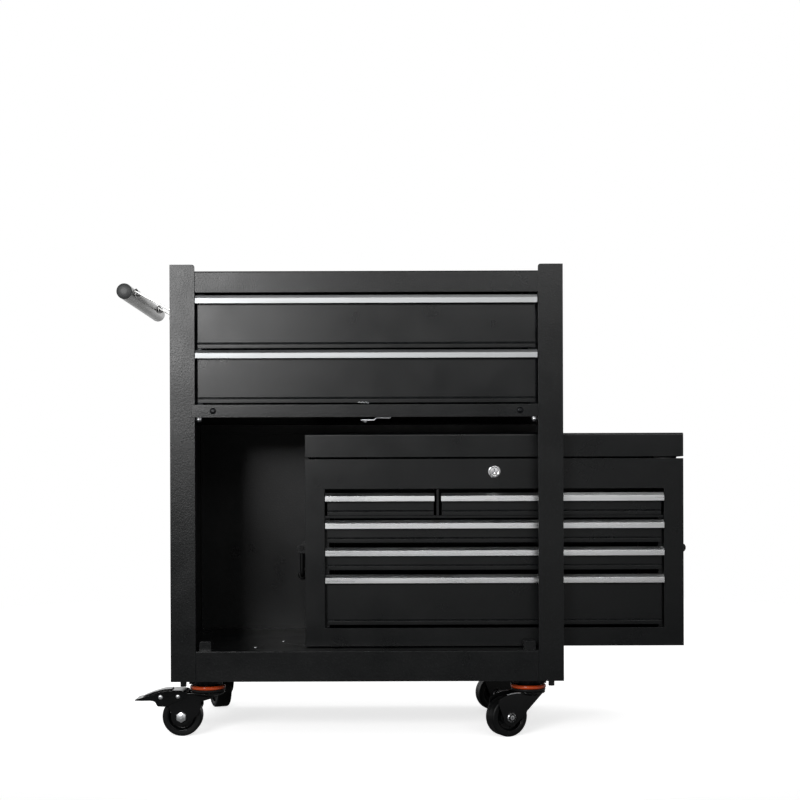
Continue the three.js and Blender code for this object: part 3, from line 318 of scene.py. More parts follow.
# Bevel faces get an edge mark, which the paints lighten partly as wear and partly as a painted highlight
def mark_edges(piece):
    attribute = piece.data.attributes.new("edge", "FLOAT", "FACE")
    attribute.data.foreach_set("value", [float(face.material_index == 1) for face in piece.data.polygons])
    for face in piece.data.polygons:
        face.material_index = 0


def add_bevel(piece, width, segments):
    bevel = piece.modifiers.new("soft edges", "BEVEL")
    bevel.width = width * MM
    bevel.segments = segments
    bevel.limit_method = "ANGLE"
    bevel.angle_limit = SHARP_ANGLE
    return bevel


def soften_and_mark(piece, width):
    choose(piece)
    bpy.ops.object.shade_smooth()
    bevel = add_bevel(piece, width, segments=2)
    bevel.use_clamp_overlap = False
    bevel.material = 1
    apply_all(piece)
    mark_edges(piece)
    weights = piece.modifiers.new("flat faces", "WEIGHTED_NORMAL")
    weights.weight = FLAT_FACE_WEIGHT
    apply_all(piece)


def soften(piece, width):
    choose(piece)
    add_bevel(piece, width, segments=3)
    apply_all(piece)
    bpy.ops.object.shade_smooth_by_angle(angle=SHARP_ANGLE)


def edge_sides(piece):
    sides = {}
    for face in piece.data.polygons:
        for key in face.edge_keys:
            sides.setdefault(key, []).append(face.normal.copy())
    return sides


def round_folds(piece, radius, wanted):
    choose(piece)
    bpy.ops.object.mode_set(mode="EDIT")
    bpy.ops.mesh.select_mode(type="EDGE")
    bpy.ops.mesh.select_all(action="DESELECT")
    leave_edit()
    sides = edge_sides(piece)
    for line in piece.data.edges:
        ends = [piece.data.vertices[index].co for index in line.vertices]
        line.select = wanted(ends, sides.get(tuple(sorted(line.vertices)), []))
    bpy.ops.object.mode_set(mode="EDIT")
    bpy.ops.mesh.bevel(offset=radius * MM, segments=4)
    bpy.ops.mesh.select_mode(type="VERT")
    leave_edit()


def start_point(name, place):
    bpy.ops.object.select_all(action="DESELECT")
    bpy.ops.mesh.primitive_plane_add(size=MM, location=(0, 0, 0))
    piece = bpy.context.object
    piece.name = name
    edit(piece)
    bpy.ops.mesh.merge(type="CENTER")
    bpy.ops.transform.translate(value=place)
    return piece


def draw_line(name, points):
    piece = start_point(name, points[0])
    for before, after in zip(points, points[1:]):
        bpy.ops.mesh.extrude_region_move(TRANSFORM_OT_translate={"value": after - before})
    bpy.ops.mesh.select_all(action="SELECT")
    bpy.ops.mesh.remove_doubles(threshold=MERGE_DISTANCE)
    return piece


# A corner is two coordinates and, where it is rounded, the reach of its rounding
def eased(corners, steps=5):
    points = []
    for index, corner in enumerate(corners):
        here = Vector(corner[:2])
        if len(corner) == 2:
            points.append(here)
            continue
        before = Vector(corners[index - 1][:2])
        after = Vector(corners[(index + 1) % len(corners)][:2])
        start = here + (before - here).normalized() * corner[2]
        end = here + (after - here).normalized() * corner[2]
        for step in range(steps + 1):
            t = step / steps
            points.append(start * (1 - t) ** 2 + here * 2 * t * (1 - t) + end * t ** 2)
    return points


def mirrored_profile(half):
    low = [(corner[0], -corner[1], *corner[2:]) for corner in reversed(half)]
    return [*half, *low]


def finish_shape(piece):
    edit(piece)
    bpy.ops.mesh.remove_doubles(threshold=MERGE_DISTANCE)
    bpy.ops.mesh.normals_make_consistent(inside=False)
    leave_edit()
    bpy.ops.object.transform_apply(location=True, rotation=True, scale=True)
    bpy.ops.object.shade_smooth_by_angle(angle=SHARP_ANGLE)


# Corners of a turned shape are radius and height over the centre
def turned(name, centre, axis, corners, steps=FINE_STEPS):
    centre, axis = Vector(centre), Vector(axis).normalized()
    outward = axis.orthogonal().normalized()
    points = [centre + MM * (radius * outward + height * axis) for radius, height in eased(corners)]
    piece = draw_line(name, points)
    bpy.ops.mesh.spin(steps=steps, angle=2 * math.pi, center=centre, axis=axis)
    leave_edit()
    finish_shape(piece)
    return piece


def turned_ring(name, centre, axis, corners, steps=FINE_STEPS):
    return turned(name, centre, axis, [*corners, corners[0]], steps)


# Corners of a plate are its reach along the ground and its rise, both from its place
def plate_from(name, outline, place, reach, axis, start, end):
    points = [place + (reach * along + UP * rise + axis * start) * MM for along, rise in eased(outline)]
    plate = draw_line(name, [*points, points[0]])
    bpy.ops.mesh.edge_face_add()
    bpy.ops.mesh.extrude_region_move(TRANSFORM_OT_translate={"value": axis * (end - start) * MM})
    leave_edit()
    finish_shape(plate)
    return plate


def pair_of_plates(name, outline, place, reach, axis, outer, gauge):
    spans = ((-outer, gauge - outer), (outer - gauge, outer))
    return [plate_from(name, outline, place, reach, axis, *span) for span in spans]


def facing(way):
    return Vector(way).to_track_quat("Z", "Y").to_euler()


def name_and_chamfer(name, chamfer, segments):
    piece = bpy.context.object
    piece.name = name
    bpy.ops.object.transform_apply(location=True, rotation=True, scale=True)
    edit(piece)
    bpy.ops.mesh.bevel(offset=chamfer * MM, segments=segments)
    leave_edit()
    finish_shape(piece)
    return piece


def add_block(name, centre, size, way=UP, chamfer=0.3, segments=2):
    bpy.ops.object.select_all(action="DESELECT")
    metres = [length * MM for length in size]
    bpy.ops.mesh.primitive_cube_add(size=1, location=centre, rotation=facing(way), scale=metres)
    return name_and_chamfer(name, chamfer, segments)


def add_prism(name, centre, way, radius, depth, sides=6, chamfer=0.8):
    bpy.ops.object.select_all(action="DESELECT")
    middle = Vector(centre) + Vector(way) * depth * MM / 2
    bpy.ops.mesh.primitive_cylinder_add(vertices=sides, radius=radius * MM, depth=depth * MM, location=middle,
                                        rotation=facing(way))
    return name_and_chamfer(name, chamfer, segments=2)


def wire(name, points, radius):
    piece = draw_line(name, points)
    leave_edit()
    bpy.ops.object.convert(target="CURVE")
    piece.data.bevel_depth = radius * MM
    piece.data.bevel_resolution = 5
    piece.data.use_fill_caps = True
    bpy.ops.object.convert(target="MESH")
    piece = bpy.context.object
    finish_shape(piece)
    return piece


def cut_away(piece, tool):
    choose(piece)
    boolean = piece.modifiers.new("cut", "BOOLEAN")
    boolean.operation = "DIFFERENCE"
    boolean.solver = "EXACT"
    boolean.object = tool
    apply_all(piece)
    bpy.data.objects.remove(tool)
    finish_shape(piece)


def settle(piece, finish, slot, body, *replaced):
    set_finish(piece, finish)
    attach(piece, body)
    if replaced:
        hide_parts(*replaced)


def body_of(node):
    return NODES[node]["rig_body"]


# A domed screw head in shares of its radius and height, with a cross recess where one is asked for

HEAD_SHARES = [(0, 1), (0.42, 0.98, 0.1), (0.8, 0.72, 0.2), (0.97, 0.3, 0.1), (1, 0), (1, -0.25), (0, -0.25)]
RECESS_WIDTH_SHARE = 0.24
RECESS_DEPTH_SHARE = 0.9
RECESS_CHAMFER = 0.05


def pan_head(name, place, way, radius, height, recess=0.0):
    profile = [(r * radius, h * height, *[reach * radius for reach in rest]) for r, h, *rest in HEAD_SHARES]
    head = turned(name, place, way, profile, SMALL_STEPS)
    if recess:
        way = Vector(way).normalized()
        top = Vector(place) + way * height * MM
        narrow, depth = recess * RECESS_WIDTH_SHARE, height * RECESS_DEPTH_SHARE
        for size in ((narrow, recess, depth), (recess, narrow, depth)):
            cut_away(head, add_block("recess", top, size, way, RECESS_CHAMFER, segments=1))
    return head


# Sheet metal and pulls keep the CAD shape and get rounded edges, a finish, and edges lightened partly by wear
# and partly as a painted highlight

EDGE_WIDTHS = {"powder_coat": 0.45, "satin_enamel": 0.4, "gloss_enamel": 0.4, "aluminium": 0.3, "chrome": 0.3,
               "zinc": 0.25}
FINISHES = {"powder_coat": POWDER, "satin_enamel": SATIN, "gloss_enamel": GLOSS, "aluminium": ALUMINIUM,
            "chrome": TUBE, "zinc": ZINC}
SHEETS = {
    "powder_coat": ["left_side_panel", "right_side_frame", "back_panel", "drawer_bay_floor", "crossbar",
                    "caster_channel_left", "caster_channel_right", "chest_case", "chest_till_floor"],
    "satin_enamel": ["lower_drawer", "upper_drawer", "small_drawer_left", "small_drawer_middle",
                     "small_drawer_right", "chest_drawer_upper", "chest_drawer_middle",
                     "chest_drawer_bottom", "chest_front_frame", "chest_lid", "chest_divider_shelf"],
    "aluminium": ["small_drawer_left_pull", "small_drawer_middle_pull", "small_drawer_right_pull",
                  "chest_drawer_upper_pull", "chest_drawer_middle_pull", "chest_drawer_bottom_pull"],
    "zinc": ["door_catch_strip", "lid_hinge_rod"],
    "chrome": ["push_handle_arm_front", "push_handle_arm_rear"],
}
LIP_FOLD = 1.1
LIP_FOOT = 30
RAIL_FOLD = 2.6
FORK_EDGE_FOLD = 1.2
NEAR = 0.1 * MM
FACING_AXLE = 0.9
FACING_UP = 0.1


def front_lip(ends, normals):
    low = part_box("base_pan")[0]
    return all(end.y < low.y + NEAR and end.z > low.z + LIP_FOOT * MM for end in ends)


def rail_top(ends, normals):
    low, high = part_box("top_panel")
    return all(end.y < low.y + NEAR and end.z > high.z - NEAR for end in ends)


def pressed_edge(axle):
    def wanted(ends, normals):
        if len(normals) != 2:
            return False
        flat = [abs(normal.dot(axle)) > FACING_AXLE for normal in normals]
        upward = [normal.z > FACING_UP for normal in normals]
        return (flat[0] and upward[1]) or (flat[1] and upward[0])
    return wanted


def dress(node, slot, finish=None, fold=None):
    finish = finish or FINISHES[slot]
    piece = bpy.data.objects.new(node + "_finish", NODES[node].data.copy())
    bpy.context.scene.collection.objects.link(piece)
    set_finish(piece, finish, finish)
    edit(piece)
    bpy.ops.mesh.customdata_custom_splitnormals_clear()
    bpy.ops.mesh.remove_doubles(threshold=MERGE_DISTANCE)
    bpy.ops.mesh.dissolve_limited(angle_limit=FLAT_ANGLE)
    leave_edit()
    if fold:
        round_folds(piece, *fold)
    for face in piece.data.polygons:
        face.material_index = 0
    soften_and_mark(piece, EDGE_WIDTHS[slot])
    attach(piece, body_of(node))
    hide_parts(node)


for slot, nodes in SHEETS.items():
    for node in nodes:
        dress(node, slot)
dress("base_pan", "powder_coat", fold=(LIP_FOLD, front_lip))
dress("top_panel", "powder_coat", fold=(RAIL_FOLD, rail_top))
for side in ("left", "right"):
    dress("slide_frame_" + side, "zinc", BLACK_ZINC)
for node in ("lower_drawer_pull", "upper_drawer_pull"):
    dress(node, "aluminium", SATIN_ALUMINIUM)
for name in CASTERS:
    axle = Vector(JOINTS["wheel_spin_" + name]["axis"])
    # The caster plates take black zinc rather than the bright zinc of their slot, partly a dark plating and
    # partly painted shade under the base
    dress("caster_plate_" + name, "zinc", BLACK_ZINC)
    dress("fork_" + name, "gloss_enamel", fold=(FORK_EDGE_FOLD, pressed_edge(axle)))


# Casters: wheels, swivel rings and fork crowns, axle ends, then brake pedals or the gussets of plain forks

CLEARANCE = 0.3
LEG_OUTER = 16.8
PLATE_GAUGE = 2.3

TYRE = [(23.6, 12.2), (24.2, 13, 0.5), (29.4, 13, 1.0), (31.45, 11.2, 1.5), (31.45, 0.6, 0.3),
        (31.2, 0.3, 0.2)]
WHEEL_CENTRE = [(4.3, 14.2), (8.6, 14.2, 0.8), (9.6, 12.4, 0.8), (11.4, 5.9, 1.4), (19.2, 5.4, 1.2),
                (20.8, 8.6, 0.8), (21.9, 12.2, 0.6), (23.6, 12.2)]
RIB_COUNT = 6
RIB_REACH = 15.4
RIB_SIZE = (1.8, 15.5, 14.5)
RIB_CHAMFER = 0.4

SWIVEL_RING = [(12, 4.8), (26.8, 4.8), (28.4, 5.8, 0.9), (28.4, 9.2, 0.9), (26.6, 10.6, 0.9), (24, 10.6),
               (24, 9.1), (12, 9.1)]
DUST_LIP = [(12, 0.9), (22, 0.9), (23.2, 0, 0.4), (26.2, 0, 0.9), (27.6, 1.6, 0.8), (27.6, 4.2, 0.3),
            (12, 4.4)]
CROWN = [(6, -4.9), (9.4, -5, 0.6), (13, -6.4, 1.2), (17, -6.6, 1.5), (26, -2.9, 1.6), (27.2, -1.6, 0.6),
         (27.2, 0, 0.4), (24.5, 0.1), (6, 0.1)]

NUT_RADIUS = 8.75
NUT_HEIGHT = 5.4
AXLE_END_SEAT = 4.8
AXLE_END = [(0, 1.8), (3.2, 1.8, 0.5), (3.8, 1.2, 0.3), (3.8, -1), (0, -1)]
AXLE_SCREW = {"radius": 7.75, "height": 3.8, "recess": 4.4}

PIVOT_REACH = 47
PIVOT_DROP = 8.5
CHEEK_OUTER = 19.1
CHEEK_GAUGE = 2
PEDAL_TOP = [(30.6, 1.6), (34, 3.4, 2), (48, 4.6, 5), (70, 3.2, 6), (88, -2.2, 6), (104, -7.8, 3),
             (114, -10.2)]
PEDAL_FOOT = [(114, -12), (104, -12.4, 2), (89, -12.2, 2), (82.5, -13.6, 2), (78, -21.4, 2), (63, -22, 1.5),
              (57, -17.5, 3), (42, -11.5, 3), (31, -6.5, 2)]
PEDAL_EDGE = 0.8
SHOE = [(57, -10.3), (63, -10.3), (63, 3), (57, 3)]
SHOE_HALF_WIDTH = 9
TREAD_PAD = [(56, 3.4), (56, 6), (70, 5.1, 4), (86, 0.6, 5), (99, -4.6, 2), (103.5, -7.6), (103, -8.6),
             (98, -6.6), (86, -2, 5), (70, 2.8, 4)]
PAD_HALF_WIDTH = 11
PAD_EDGE = 0.35
PEDAL_RIVETS = [(45.2, -5.4, 3.5), (73, -6.4, 3.8)]
RIVET_HEIGHT = 1.8

GUSSET = [(-20, -0.5), (-10, -0.6), (9.4, -14.4), (9.4, -22.6), (13.4, -34.5), (11.4, -30)]
# Corners of a bright zinc strip on each plain fork leg's upper fold, a painted highlight where the fold
# catches the light
FORK_HIGHLIGHT_STRIP = [(23, 0.4), (31, 0.8), (39, 0.3), (47, -1.4), (47, -3), (39, -1.4), (31, -1), (23, -1.4)]
FORK_HIGHLIGHT_PROUD = 0.6
FORK_HIGHLIGHT_EDGE = 0.6


def place_and_axis(joint):
    return Vector(JOINTS[joint]["pos_m"]), Vector(JOINTS[joint]["axis"])


def seal_foot(name):
    place = JOINTS["swivel_turn_" + name]["pos_m"]
    return Vector((place[0], place[1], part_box("swivel_seal_" + name)[0].z))


def crown_top(name):
    return seal_foot(name) - UP * CLEARANCE * MM


def trailing(axis):
    return Vector((axis.y, -axis.x, 0))


def wheel_ribs(centre, axis):
    ribs = []
    for index in range(RIB_COUNT):
        spoke = axis.orthogonal().normalized()
        spoke.rotate(Matrix.Rotation(2 * math.pi * index / RIB_COUNT, 3, axis))
        middle = centre + spoke * RIB_REACH * MM
        rib = add_block("rib", middle, RIB_SIZE, chamfer=RIB_CHAMFER)
        turn = Matrix((spoke.cross(axis), spoke, axis)).transposed().to_4x4()
        rib.data.transform(Matrix.Translation(middle) @ turn @ Matrix.Translation(-middle))
        ribs.append(rib)
    return ribs


def caster_wheel(name):
    centre, axis = place_and_axis("wheel_spin_" + name)
    body = "roller_" + name
    tyre = turned_ring("tyre_" + name, centre, axis, mirrored_profile(TYRE))
    settle(tyre, RUBBER, "rubber", body, "wheel_" + name)
    middle = turned_ring("wheel_centre_" + name, centre, axis, mirrored_profile(WHEEL_CENTRE))
    settle(merge([middle, *wheel_ribs(centre, axis)]), GLOSS, "gloss_enamel", body)


def caster_top(name):
    body = "swivel_" + name
    ring = turned_ring("swivel_ring_" + name, seal_foot(name), UP, SWIVEL_RING)
    settle(ring, ORANGE, "orange_plastic", body, "swivel_seal_" + name)
    settle(turned_ring("dust_lip_" + name, seal_foot(name), UP, DUST_LIP), GRIP, "plastic", body)
    settle(turned_ring("fork_crown_" + name, crown_top(name), UP, CROWN), GLOSS, "gloss_enamel", body)


def axle_ends(name):
    centre, axis = place_and_axis("wheel_spin_" + name)
    nut_way = axis if name in BRAKED else -axis
    body = "swivel_" + name
    seat = centre + nut_way * (LEG_OUTER - CLEARANCE) * MM
    nut = add_prism("axle_nut_" + name, seat, nut_way, NUT_RADIUS, NUT_HEIGHT)
    stub_seat = centre + nut_way * (LEG_OUTER + AXLE_END_SEAT) * MM
    stub = turned("axle_end", stub_seat, nut_way, AXLE_END, SMALL_STEPS)
    settle(merge([nut, stub]), ZINC, "zinc", body)
    head = pan_head("axle_screw_" + name, centre - nut_way * LEG_OUTER * MM, -nut_way, **AXLE_SCREW)
    settle(head, ZINC, "zinc", body)


def pedal_rivets(name, crown, reach, axis):
    rivets = []
    for side in (-1, 1):
        for along, rise, radius in PEDAL_RIVETS:
            place = crown + (reach * along + UP * rise + axis * side * CHEEK_OUTER) * MM
            rivets.append(pan_head("rivet", place, axis * side, radius, RIVET_HEIGHT))
    first = merge(rivets)
    first.name = "pedal_rivets_" + name
    return first


def pedal_parts(name):
    pivot, axis = place_and_axis("pedal_press_" + name)
    reach = trailing(axis)
    body = "pedal_" + name
    crown = pivot + (UP * PIVOT_DROP - reach * PIVOT_REACH) * MM
    under = [(along, rise - PLATE_GAUGE, *ease) for along, rise, *ease in reversed(PEDAL_TOP)]
    cover = plate_from("pedal_" + name, PEDAL_TOP + under, crown, reach, axis, -CHEEK_OUTER, CHEEK_OUTER)
    cheeks = pair_of_plates("cheek", PEDAL_TOP + PEDAL_FOOT, crown, reach, axis, CHEEK_OUTER, CHEEK_GAUGE)
    shoe = plate_from("shoe", SHOE, crown, reach, axis, -SHOE_HALF_WIDTH, SHOE_HALF_WIDTH)
    soften(merge([cover, *cheeks, shoe]), PEDAL_EDGE)
    settle(cover, GLOSS, "gloss_enamel", body, "brake_pedal_" + name)
    pad = plate_from("tread_pad_" + name, TREAD_PAD, crown, reach, axis, -PAD_HALF_WIDTH, PAD_HALF_WIDTH)
    soften(pad, PAD_EDGE)
    settle(pad, GLOSS, "gloss_enamel", body)
    settle(pedal_rivets(name, crown, reach, axis), ZINC, "zinc", body)


def fork_gussets(name):
    axis = place_and_axis("wheel_spin_" + name)[1]
    at = (crown_top(name), trailing(axis), axis)
    body = "swivel_" + name
    gussets = pair_of_plates("fork_gusset_" + name, GUSSET, *at, LEG_OUTER, PLATE_GAUGE)
    settle(merge(gussets), GLOSS, "gloss_enamel", body)
    # A bright zinc strip laid proud on the upper fold of each leg gives the fold a painted highlight
    highlight_strips = pair_of_plates("fork_highlight_strip_" + name, FORK_HIGHLIGHT_STRIP, *at, LEG_OUTER + FORK_HIGHLIGHT_PROUD,
                           PLATE_GAUGE + FORK_HIGHLIGHT_PROUD)
    soften(merge(highlight_strips), FORK_HIGHLIGHT_EDGE)
    settle(highlight_strips[0], ZINC, "zinc", body)


for name in CASTERS:
    caster_wheel(name)
    caster_top(name)
    axle_ends(name)
for name in CASTERS:
    if name in BRAKED:
        pedal_parts(name)
    else:
        fork_gussets(name)


# Push handle

TUBE_EDGE = 0.4
TUBE_WALL = 1.4
CAP_DOME = [(0, 4.1), (5, 3.9, 1.5), (9.6, 2.9, 1.6)]
CAP_LIP = 0.1
CAP_PLUG = {"inset": 2, "foot": 0.3, "depth": 11.5}
BOLT = {"radius": 3.6, "height": 4}
BOLT_RISE = 4
COLLAR = {"radius": 4.6, "depth": 1.4, "sides": 24, "chamfer": 0.3}


def handle_tube(middle, half, radius):
    inner = radius - TUBE_WALL
    tube = turned_ring("handle_tube", middle, BACK, [
        (radius, -half + TUBE_EDGE), (radius, half - TUBE_EDGE), (radius - TUBE_EDGE, half), (inner, half),
        (inner, -half), (radius - TUBE_EDGE, -half)])
    settle(tube, TUBE, "chrome", "cabinet", "push_handle_tube")


def handle_cap(end, place, way, radius):
    lip, plug = radius + CAP_LIP, radius - CAP_PLUG["inset"]
    cap = turned("handle_cap_" + end, place, way, [
        *CAP_DOME, (lip, 1.4, 0.6), (lip, 0.35, 0.3), (plug, CAP_PLUG["foot"]), (plug, -CAP_PLUG["depth"]),
        (0, -CAP_PLUG["depth"])])
    settle(cap, PLASTIC, "plastic", "cabinet", "push_handle_cap_" + end)


def handle_bolt(end, tube_side, height):
    arm_low, arm_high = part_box("push_handle_arm_" + end)
    seat = Vector((tube_side, (arm_low.y + arm_high.y) / 2, height + BOLT_RISE * MM))
    bolt = pan_head("handle_bolt_" + end, seat, RIGHT, **BOLT)
    collar = add_prism("collar", seat, RIGHT, **COLLAR)
    settle(merge([bolt, collar]), GRIP, "plastic", "cabinet")


def push_handle():
    low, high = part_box("push_handle_tube")
    middle = (low + high) / 2
    radius = (high.z - low.z) / 2 / MM
    handle_tube(middle, (high.y - low.y) / 2 / MM, radius)
    handle_cap("front", (middle.x, low.y, middle.z), -BACK, radius)
    handle_cap("rear", (middle.x, high.y, middle.z), BACK, radius)
    for end in ("front", "rear"):
        handle_bolt(end, high.x, middle.z)


# Lock and side bails

LOCK_FACE = [(0, -0.7), (6.1, -0.7, 0.2), (6.6, -0.1, 0.3), (8.6, 0.1, 0.5), (10, -0.9, 0.5), (10, -2.2),
             (8, -2.3)]
LOCK_BARREL = 8
KEY_SLOT = (1.9, 3, 8)
KEY_SLOT_CHAMFER = 0.2
BAIL_DROP = 45
BAIL_PATH = [(-59, 0), (-50, 0, 4), (-50, -BAIL_DROP, 9), (50, -BAIL_DROP, 9), (50, 0, 4), (59, 0)]
BAIL_ROD = 3.5
BAIL_GRIP = [(8, 0), (7.7, 6, 0.5), (8, 12, 0.5), (7.7, 18, 0.5), (8, 24, 0.5), (8, 33.5, 1.5),
             (6.4, 36, 1.2), (3.4, 36)]


def lock_face():
    low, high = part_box("lock_cylinder")
    place = Vector(((low.x + high.x) / 2, high.y, (low.z + high.z) / 2))
    front = (high.y - low.y) / MM
    face = [(radius, front + step, *ease) for radius, step, *ease in LOCK_FACE]
    lock = turned("lock_barrel", place, -BACK, [*face, (LOCK_BARREL, 0), (0, 0)])
    cut_away(lock, add_block("key slot", place - BACK * front * MM, KEY_SLOT, chamfer=KEY_SLOT_CHAMFER))
    settle(lock, CHROME, "chrome", "lock", "lock_cylinder")


def side_bail(side):
    pivot = Vector(JOINTS[side + "_bail_hinge"]["pos_m"])
    points = [pivot + (BACK * along + UP * rise) * MM for along, rise in eased(BAIL_PATH, steps=8)]
    body = side + "_bail"
    settle(wire("bail_rod_" + side, points, BAIL_ROD), GRIP, "plastic", body, "bail_" + side)
    middle = pivot - UP * BAIL_DROP * MM
    grip = turned("bail_grip_" + side, middle, BACK, mirrored_profile(BAIL_GRIP)[::-1], SMALL_STEPS)
    settle(grip, GRIP, "plastic", body)


# Crossbar screws and door pins, latch spring, rim under the lid, screws of the floor and the catch strip

CROSSBAR_SCREW = {"radius": 5, "height": 2.4, "recess": 4.6}
CROSSBAR_SCREW_SPREAD = 242
CROSSBAR_SCREW_DROP = 10
CROSSBAR_FACE = 1.7
DOOR_PIN = [(2.2, -0.2), (5.2, -0.2), (5.2, 1.4, 0.5), (4.9, 2.4, 0.5), (5.1, 3.4, 0.5), (4.2, 5.2, 0.8),
            (2.2, 5.2)]
DOOR_PIN_SPREAD = 265.4
DOOR_PIN_SETBACK = 9.5
DOOR_PIN_DROP = 20
SPRING_BENDS = [(-13.6, 2.6), (-11.4, 4.2), (-8.8, 2.2), (-6.2, 4.3), (-3.6, 2), (-1, 4), (1.2, 2),
                (3.6, 1.8)]
SPRING_WIRE = 0.8
SPRING_PROUD = 1.1
LID_RISE = 41.2
CASE_RIM = {"start": 45, "length": 180, "gauge": 1.2, "rise": 6, "rooted": 0.2, "inset": 2.5}
FLOOR_SCREW = {"radius": 3.4, "height": 1.7}
FLOOR_SCREW_PLACES = [(-248.2, -141.5), (-209.8, -59.8)]
FLOOR_SCREW_DROP = 0.4
CATCH_SCREW = {"radius": 3.3, "height": 2.9}
CATCH_SCREW_INSET = 6.4
CATCH_SCREW_RISE = 2.6


def cabinet_middle():
    low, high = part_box("base_pan")
    return (low.x + high.x) / 2


def crossbar_fittings():
    low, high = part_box("crossbar")
    face = low.y + CROSSBAR_FACE * MM
    between_screws = Vector((cabinet_middle(), face, high.z - CROSSBAR_SCREW_DROP * MM))
    between_pins = Vector((cabinet_middle(), face + DOOR_PIN_SETBACK * MM, high.z - DOOR_PIN_DROP * MM))
    screws, pins = [], []
    for side in (-1, 1):
        place = between_screws + RIGHT * side * CROSSBAR_SCREW_SPREAD * MM
        screws.append(pan_head("crossbar_screw", place, -BACK, **CROSSBAR_SCREW))
        seat = between_pins + RIGHT * side * DOOR_PIN_SPREAD * MM
        pins.append(turned_ring("door_pin", seat, -UP, DOOR_PIN, SMALL_STEPS))
    settle(merge(screws), BLACK_ZINC, "zinc", "cabinet")
    settle(merge(pins), ZINC, "zinc", "cabinet")


def latch_spring():
    middle, top = cabinet_middle(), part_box("crossbar")[1].z
    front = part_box("lower_drawer")[0].y - SPRING_PROUD * MM
    points = [Vector((middle + along * MM, front, top + rise * MM)) for along, rise in SPRING_BENDS]
    settle(wire("latch_spring", points, SPRING_WIRE), ZINC, "zinc", body_of("lower_drawer"))


def case_rims():
    low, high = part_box("chest_lid")
    size = (CASE_RIM["gauge"], CASE_RIM["length"], CASE_RIM["rise"] + CASE_RIM["rooted"])
    middle = low.y + (CASE_RIM["start"] + CASE_RIM["length"] / 2) * MM
    height = high.z - (LID_RISE - (CASE_RIM["rise"] - CASE_RIM["rooted"]) / 2) * MM
    inset = CASE_RIM["inset"] * MM
    for side, edge in (("left", low.x + inset), ("right", high.x - inset)):
        rim = add_block("case_rim_" + side, (edge, middle, height), size)
        settle(rim, POWDER, "powder_coat", body_of("chest_case"))


def compartment_screws():
    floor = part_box("chest_case")[0].z - FLOOR_SCREW_DROP * MM
    places = [(x * MM, y * MM, floor) for x, y in FLOOR_SCREW_PLACES]
    heads = [pan_head("floor_screw", place, UP, **FLOOR_SCREW) for place in places]
    settle(merge(heads), ZINC, "zinc", "cabinet")


def catch_screw():
    low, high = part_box("door_catch_strip")
    place = (low.x + CATCH_SCREW_INSET * MM, (low.y + high.y) / 2, low.z + CATCH_SCREW_RISE * MM)
    settle(pan_head("catch_screw", place, -UP, **CATCH_SCREW), ZINC, "zinc", "cabinet")


push_handle()
lock_face()
crossbar_fittings()
latch_spring()
compartment_screws()
catch_screw()
case_rims()
for side in ("left", "right"):
    side_bail(side)


# Studio: four lamps, a world that is dim in front and bright behind, a pale floor and the camera

LAMPS = {
    "key": dict(at=(-0.98, -2.6, 1.17), size=(0.84, 0.8), power=40),
    "front": dict(at=(0.7, -2.4, 1.42), size=(1.5, 0.5), power=11.5),
    "top": dict(at=(0.0, 0.3, 2.6), size=(1.8, 1.4), power=16),
    "card": dict(at=(0.42, -3.4, 0.22), size=(1.5, 0.42), power=1.9),
}
LAMP_TARGET = Vector((-0.05, -0.15, 0.42))
WHITE = (1, 1, 1, 1)
AMBIENT = 0.38
DIM = 0.035
BEHIND_BAND = (-0.3, 0.4)
BEHIND_LIGHT = 1.0
BESIDE_BAND = (0.38, 0.75)
BESIDE_LIGHT = 0.5
OVERHEAD_BAND = (0.35, 0.8)
OVERHEAD_SHARE = (1.0, 0.3)
FLOOR = {"vertices": 96, "radius": 1.62, "location": (0, 1.0, 0)}
FLOOR_SEEN = (0.25, 0.25, 0.25, 1)
FLOOR_TONES = (0.78, 0.8)
FLOOR_DUST_SCALE = 3
FLOOR_ROUGHNESS = 0.9
FLOOR_GLOW = 0.7
CAMERA_PLACE = (-0.0203, -2.311, 0.408)
CAMERA_ROLL = 0.0032
CAMERA_LENS = 60.44
CAMERA_SENSOR = 36
CAMERA_SHIFT = (0.005, 0.101)


def seen_straight(tree):
    path = add_node(tree, "ShaderNodeLightPath").outputs
    return path, arithmetic(tree, "MAXIMUM", path["Is Camera Ray"], path["Is Transmission Ray"])


def add_lamps():
    for name, lamp in LAMPS.items():
        bpy.ops.object.light_add(type="AREA", location=lamp["at"])
        light = bpy.context.object
        light.name = name
        light.data.shape = "RECTANGLE"
        light.data.size, light.data.size_y = lamp["size"]
        light.data.energy = lamp["power"]
        aim = LAMP_TARGET - Vector(lamp["at"])
        light.rotation_euler = aim.to_track_quat("-Z", "Y").to_euler()


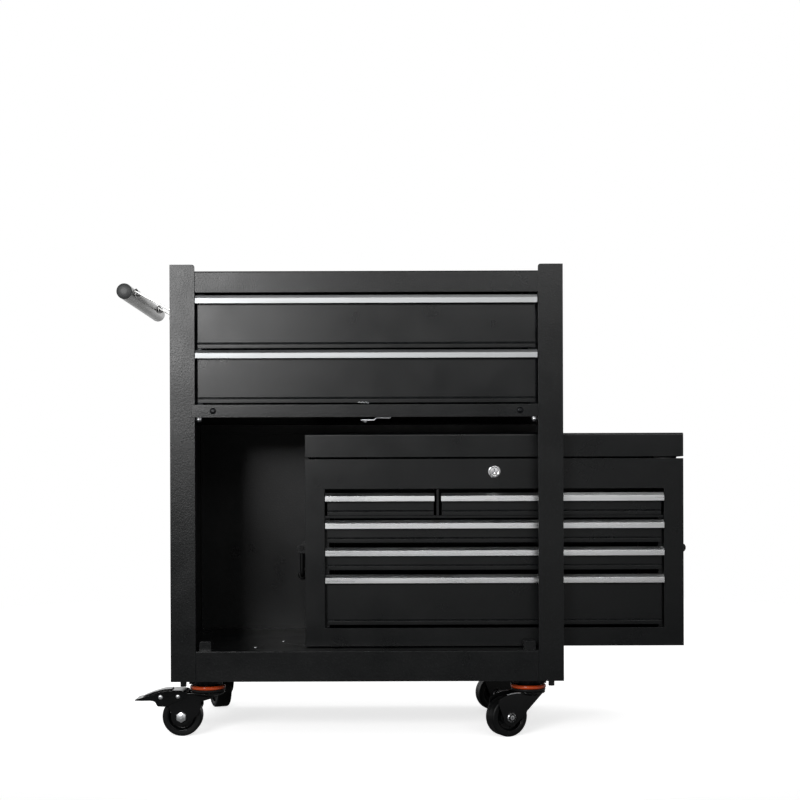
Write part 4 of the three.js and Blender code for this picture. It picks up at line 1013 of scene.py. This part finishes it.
def studio_world():
    world = bpy.data.worlds.new("studio")
    bpy.context.scene.world = world
    world.use_nodes = True
    tree = world.node_tree
    path, seen = seen_straight(tree)
    direction = add_node(tree, "ShaderNodeTexCoord").outputs["Generated"]
    parts = add_node(tree, "ShaderNodeSeparateXYZ", {"Vector": direction}).outputs
    overhead = ranged(tree, parts["Z"], *OVERHEAD_BAND, *OVERHEAD_SHARE)
    aside = arithmetic(tree, "ABSOLUTE", parts["X"], 0.0)
    beside = ranged(tree, aside, *BESIDE_BAND, DIM, BESIDE_LIGHT)
    behind = ranged(tree, parts["Y"], *BEHIND_BAND, DIM, BEHIND_LIGHT)
    around = arithmetic(tree, "MAXIMUM", behind, beside)
    mirrored = arithmetic(tree, "MULTIPLY", around, overhead)
    change = arithmetic(tree, "SUBTRACT", mirrored, AMBIENT)
    bounced = arithmetic(tree, "MULTIPLY", path["Is Glossy Ray"], change)
    unseen = arithmetic(tree, "ADD", bounced, AMBIENT)
    lift = arithmetic(tree, "MULTIPLY", seen, arithmetic(tree, "SUBTRACT", 1.0, unseen))
    background = tree.nodes["Background"]
    background.inputs["Color"].default_value = WHITE
    tree.links.new(arithmetic(tree, "ADD", unseen, lift), background.inputs["Strength"])


def add_floor():
    bpy.ops.mesh.primitive_circle_add(fill_type="NGON", **FLOOR)
    floor = bpy.context.object
    floor.name = "floor"
    material, tree, shader, place = start_finish("pale_floor")
    path, seen = seen_straight(tree)
    shader.inputs["Roughness"].default_value = FLOOR_ROUGHNESS
    shader.inputs["Specular IOR Level"].default_value = 0.0
    dust = ranged(tree, grain(tree, place, FLOOR_DUST_SCALE, detail=3), *WIDE_BAND, *FLOOR_TONES)
    colour = blended(tree, path["Is Camera Ray"], FLOOR_SEEN, dust)
    tree.links.new(colour, shader.inputs["Base Color"])
    shader.inputs["Emission Color"].default_value = WHITE
    tree.links.new(arithmetic(tree, "MULTIPLY", seen, FLOOR_GLOW), shader.inputs["Emission Strength"])
    set_finish(floor, material)


def add_camera():
    bpy.ops.object.camera_add(location=CAMERA_PLACE, rotation=(math.pi / 2, CAMERA_ROLL, 0))
    camera = bpy.context.object
    camera.data.sensor_width = CAMERA_SENSOR
    camera.data.lens = CAMERA_LENS
    camera.data.shift_x, camera.data.shift_y = CAMERA_SHIFT
    bpy.context.scene.camera = camera


add_floor()
add_lamps()
studio_world()
add_camera()
bpy.context.scene.view_settings.view_transform = "Standard"
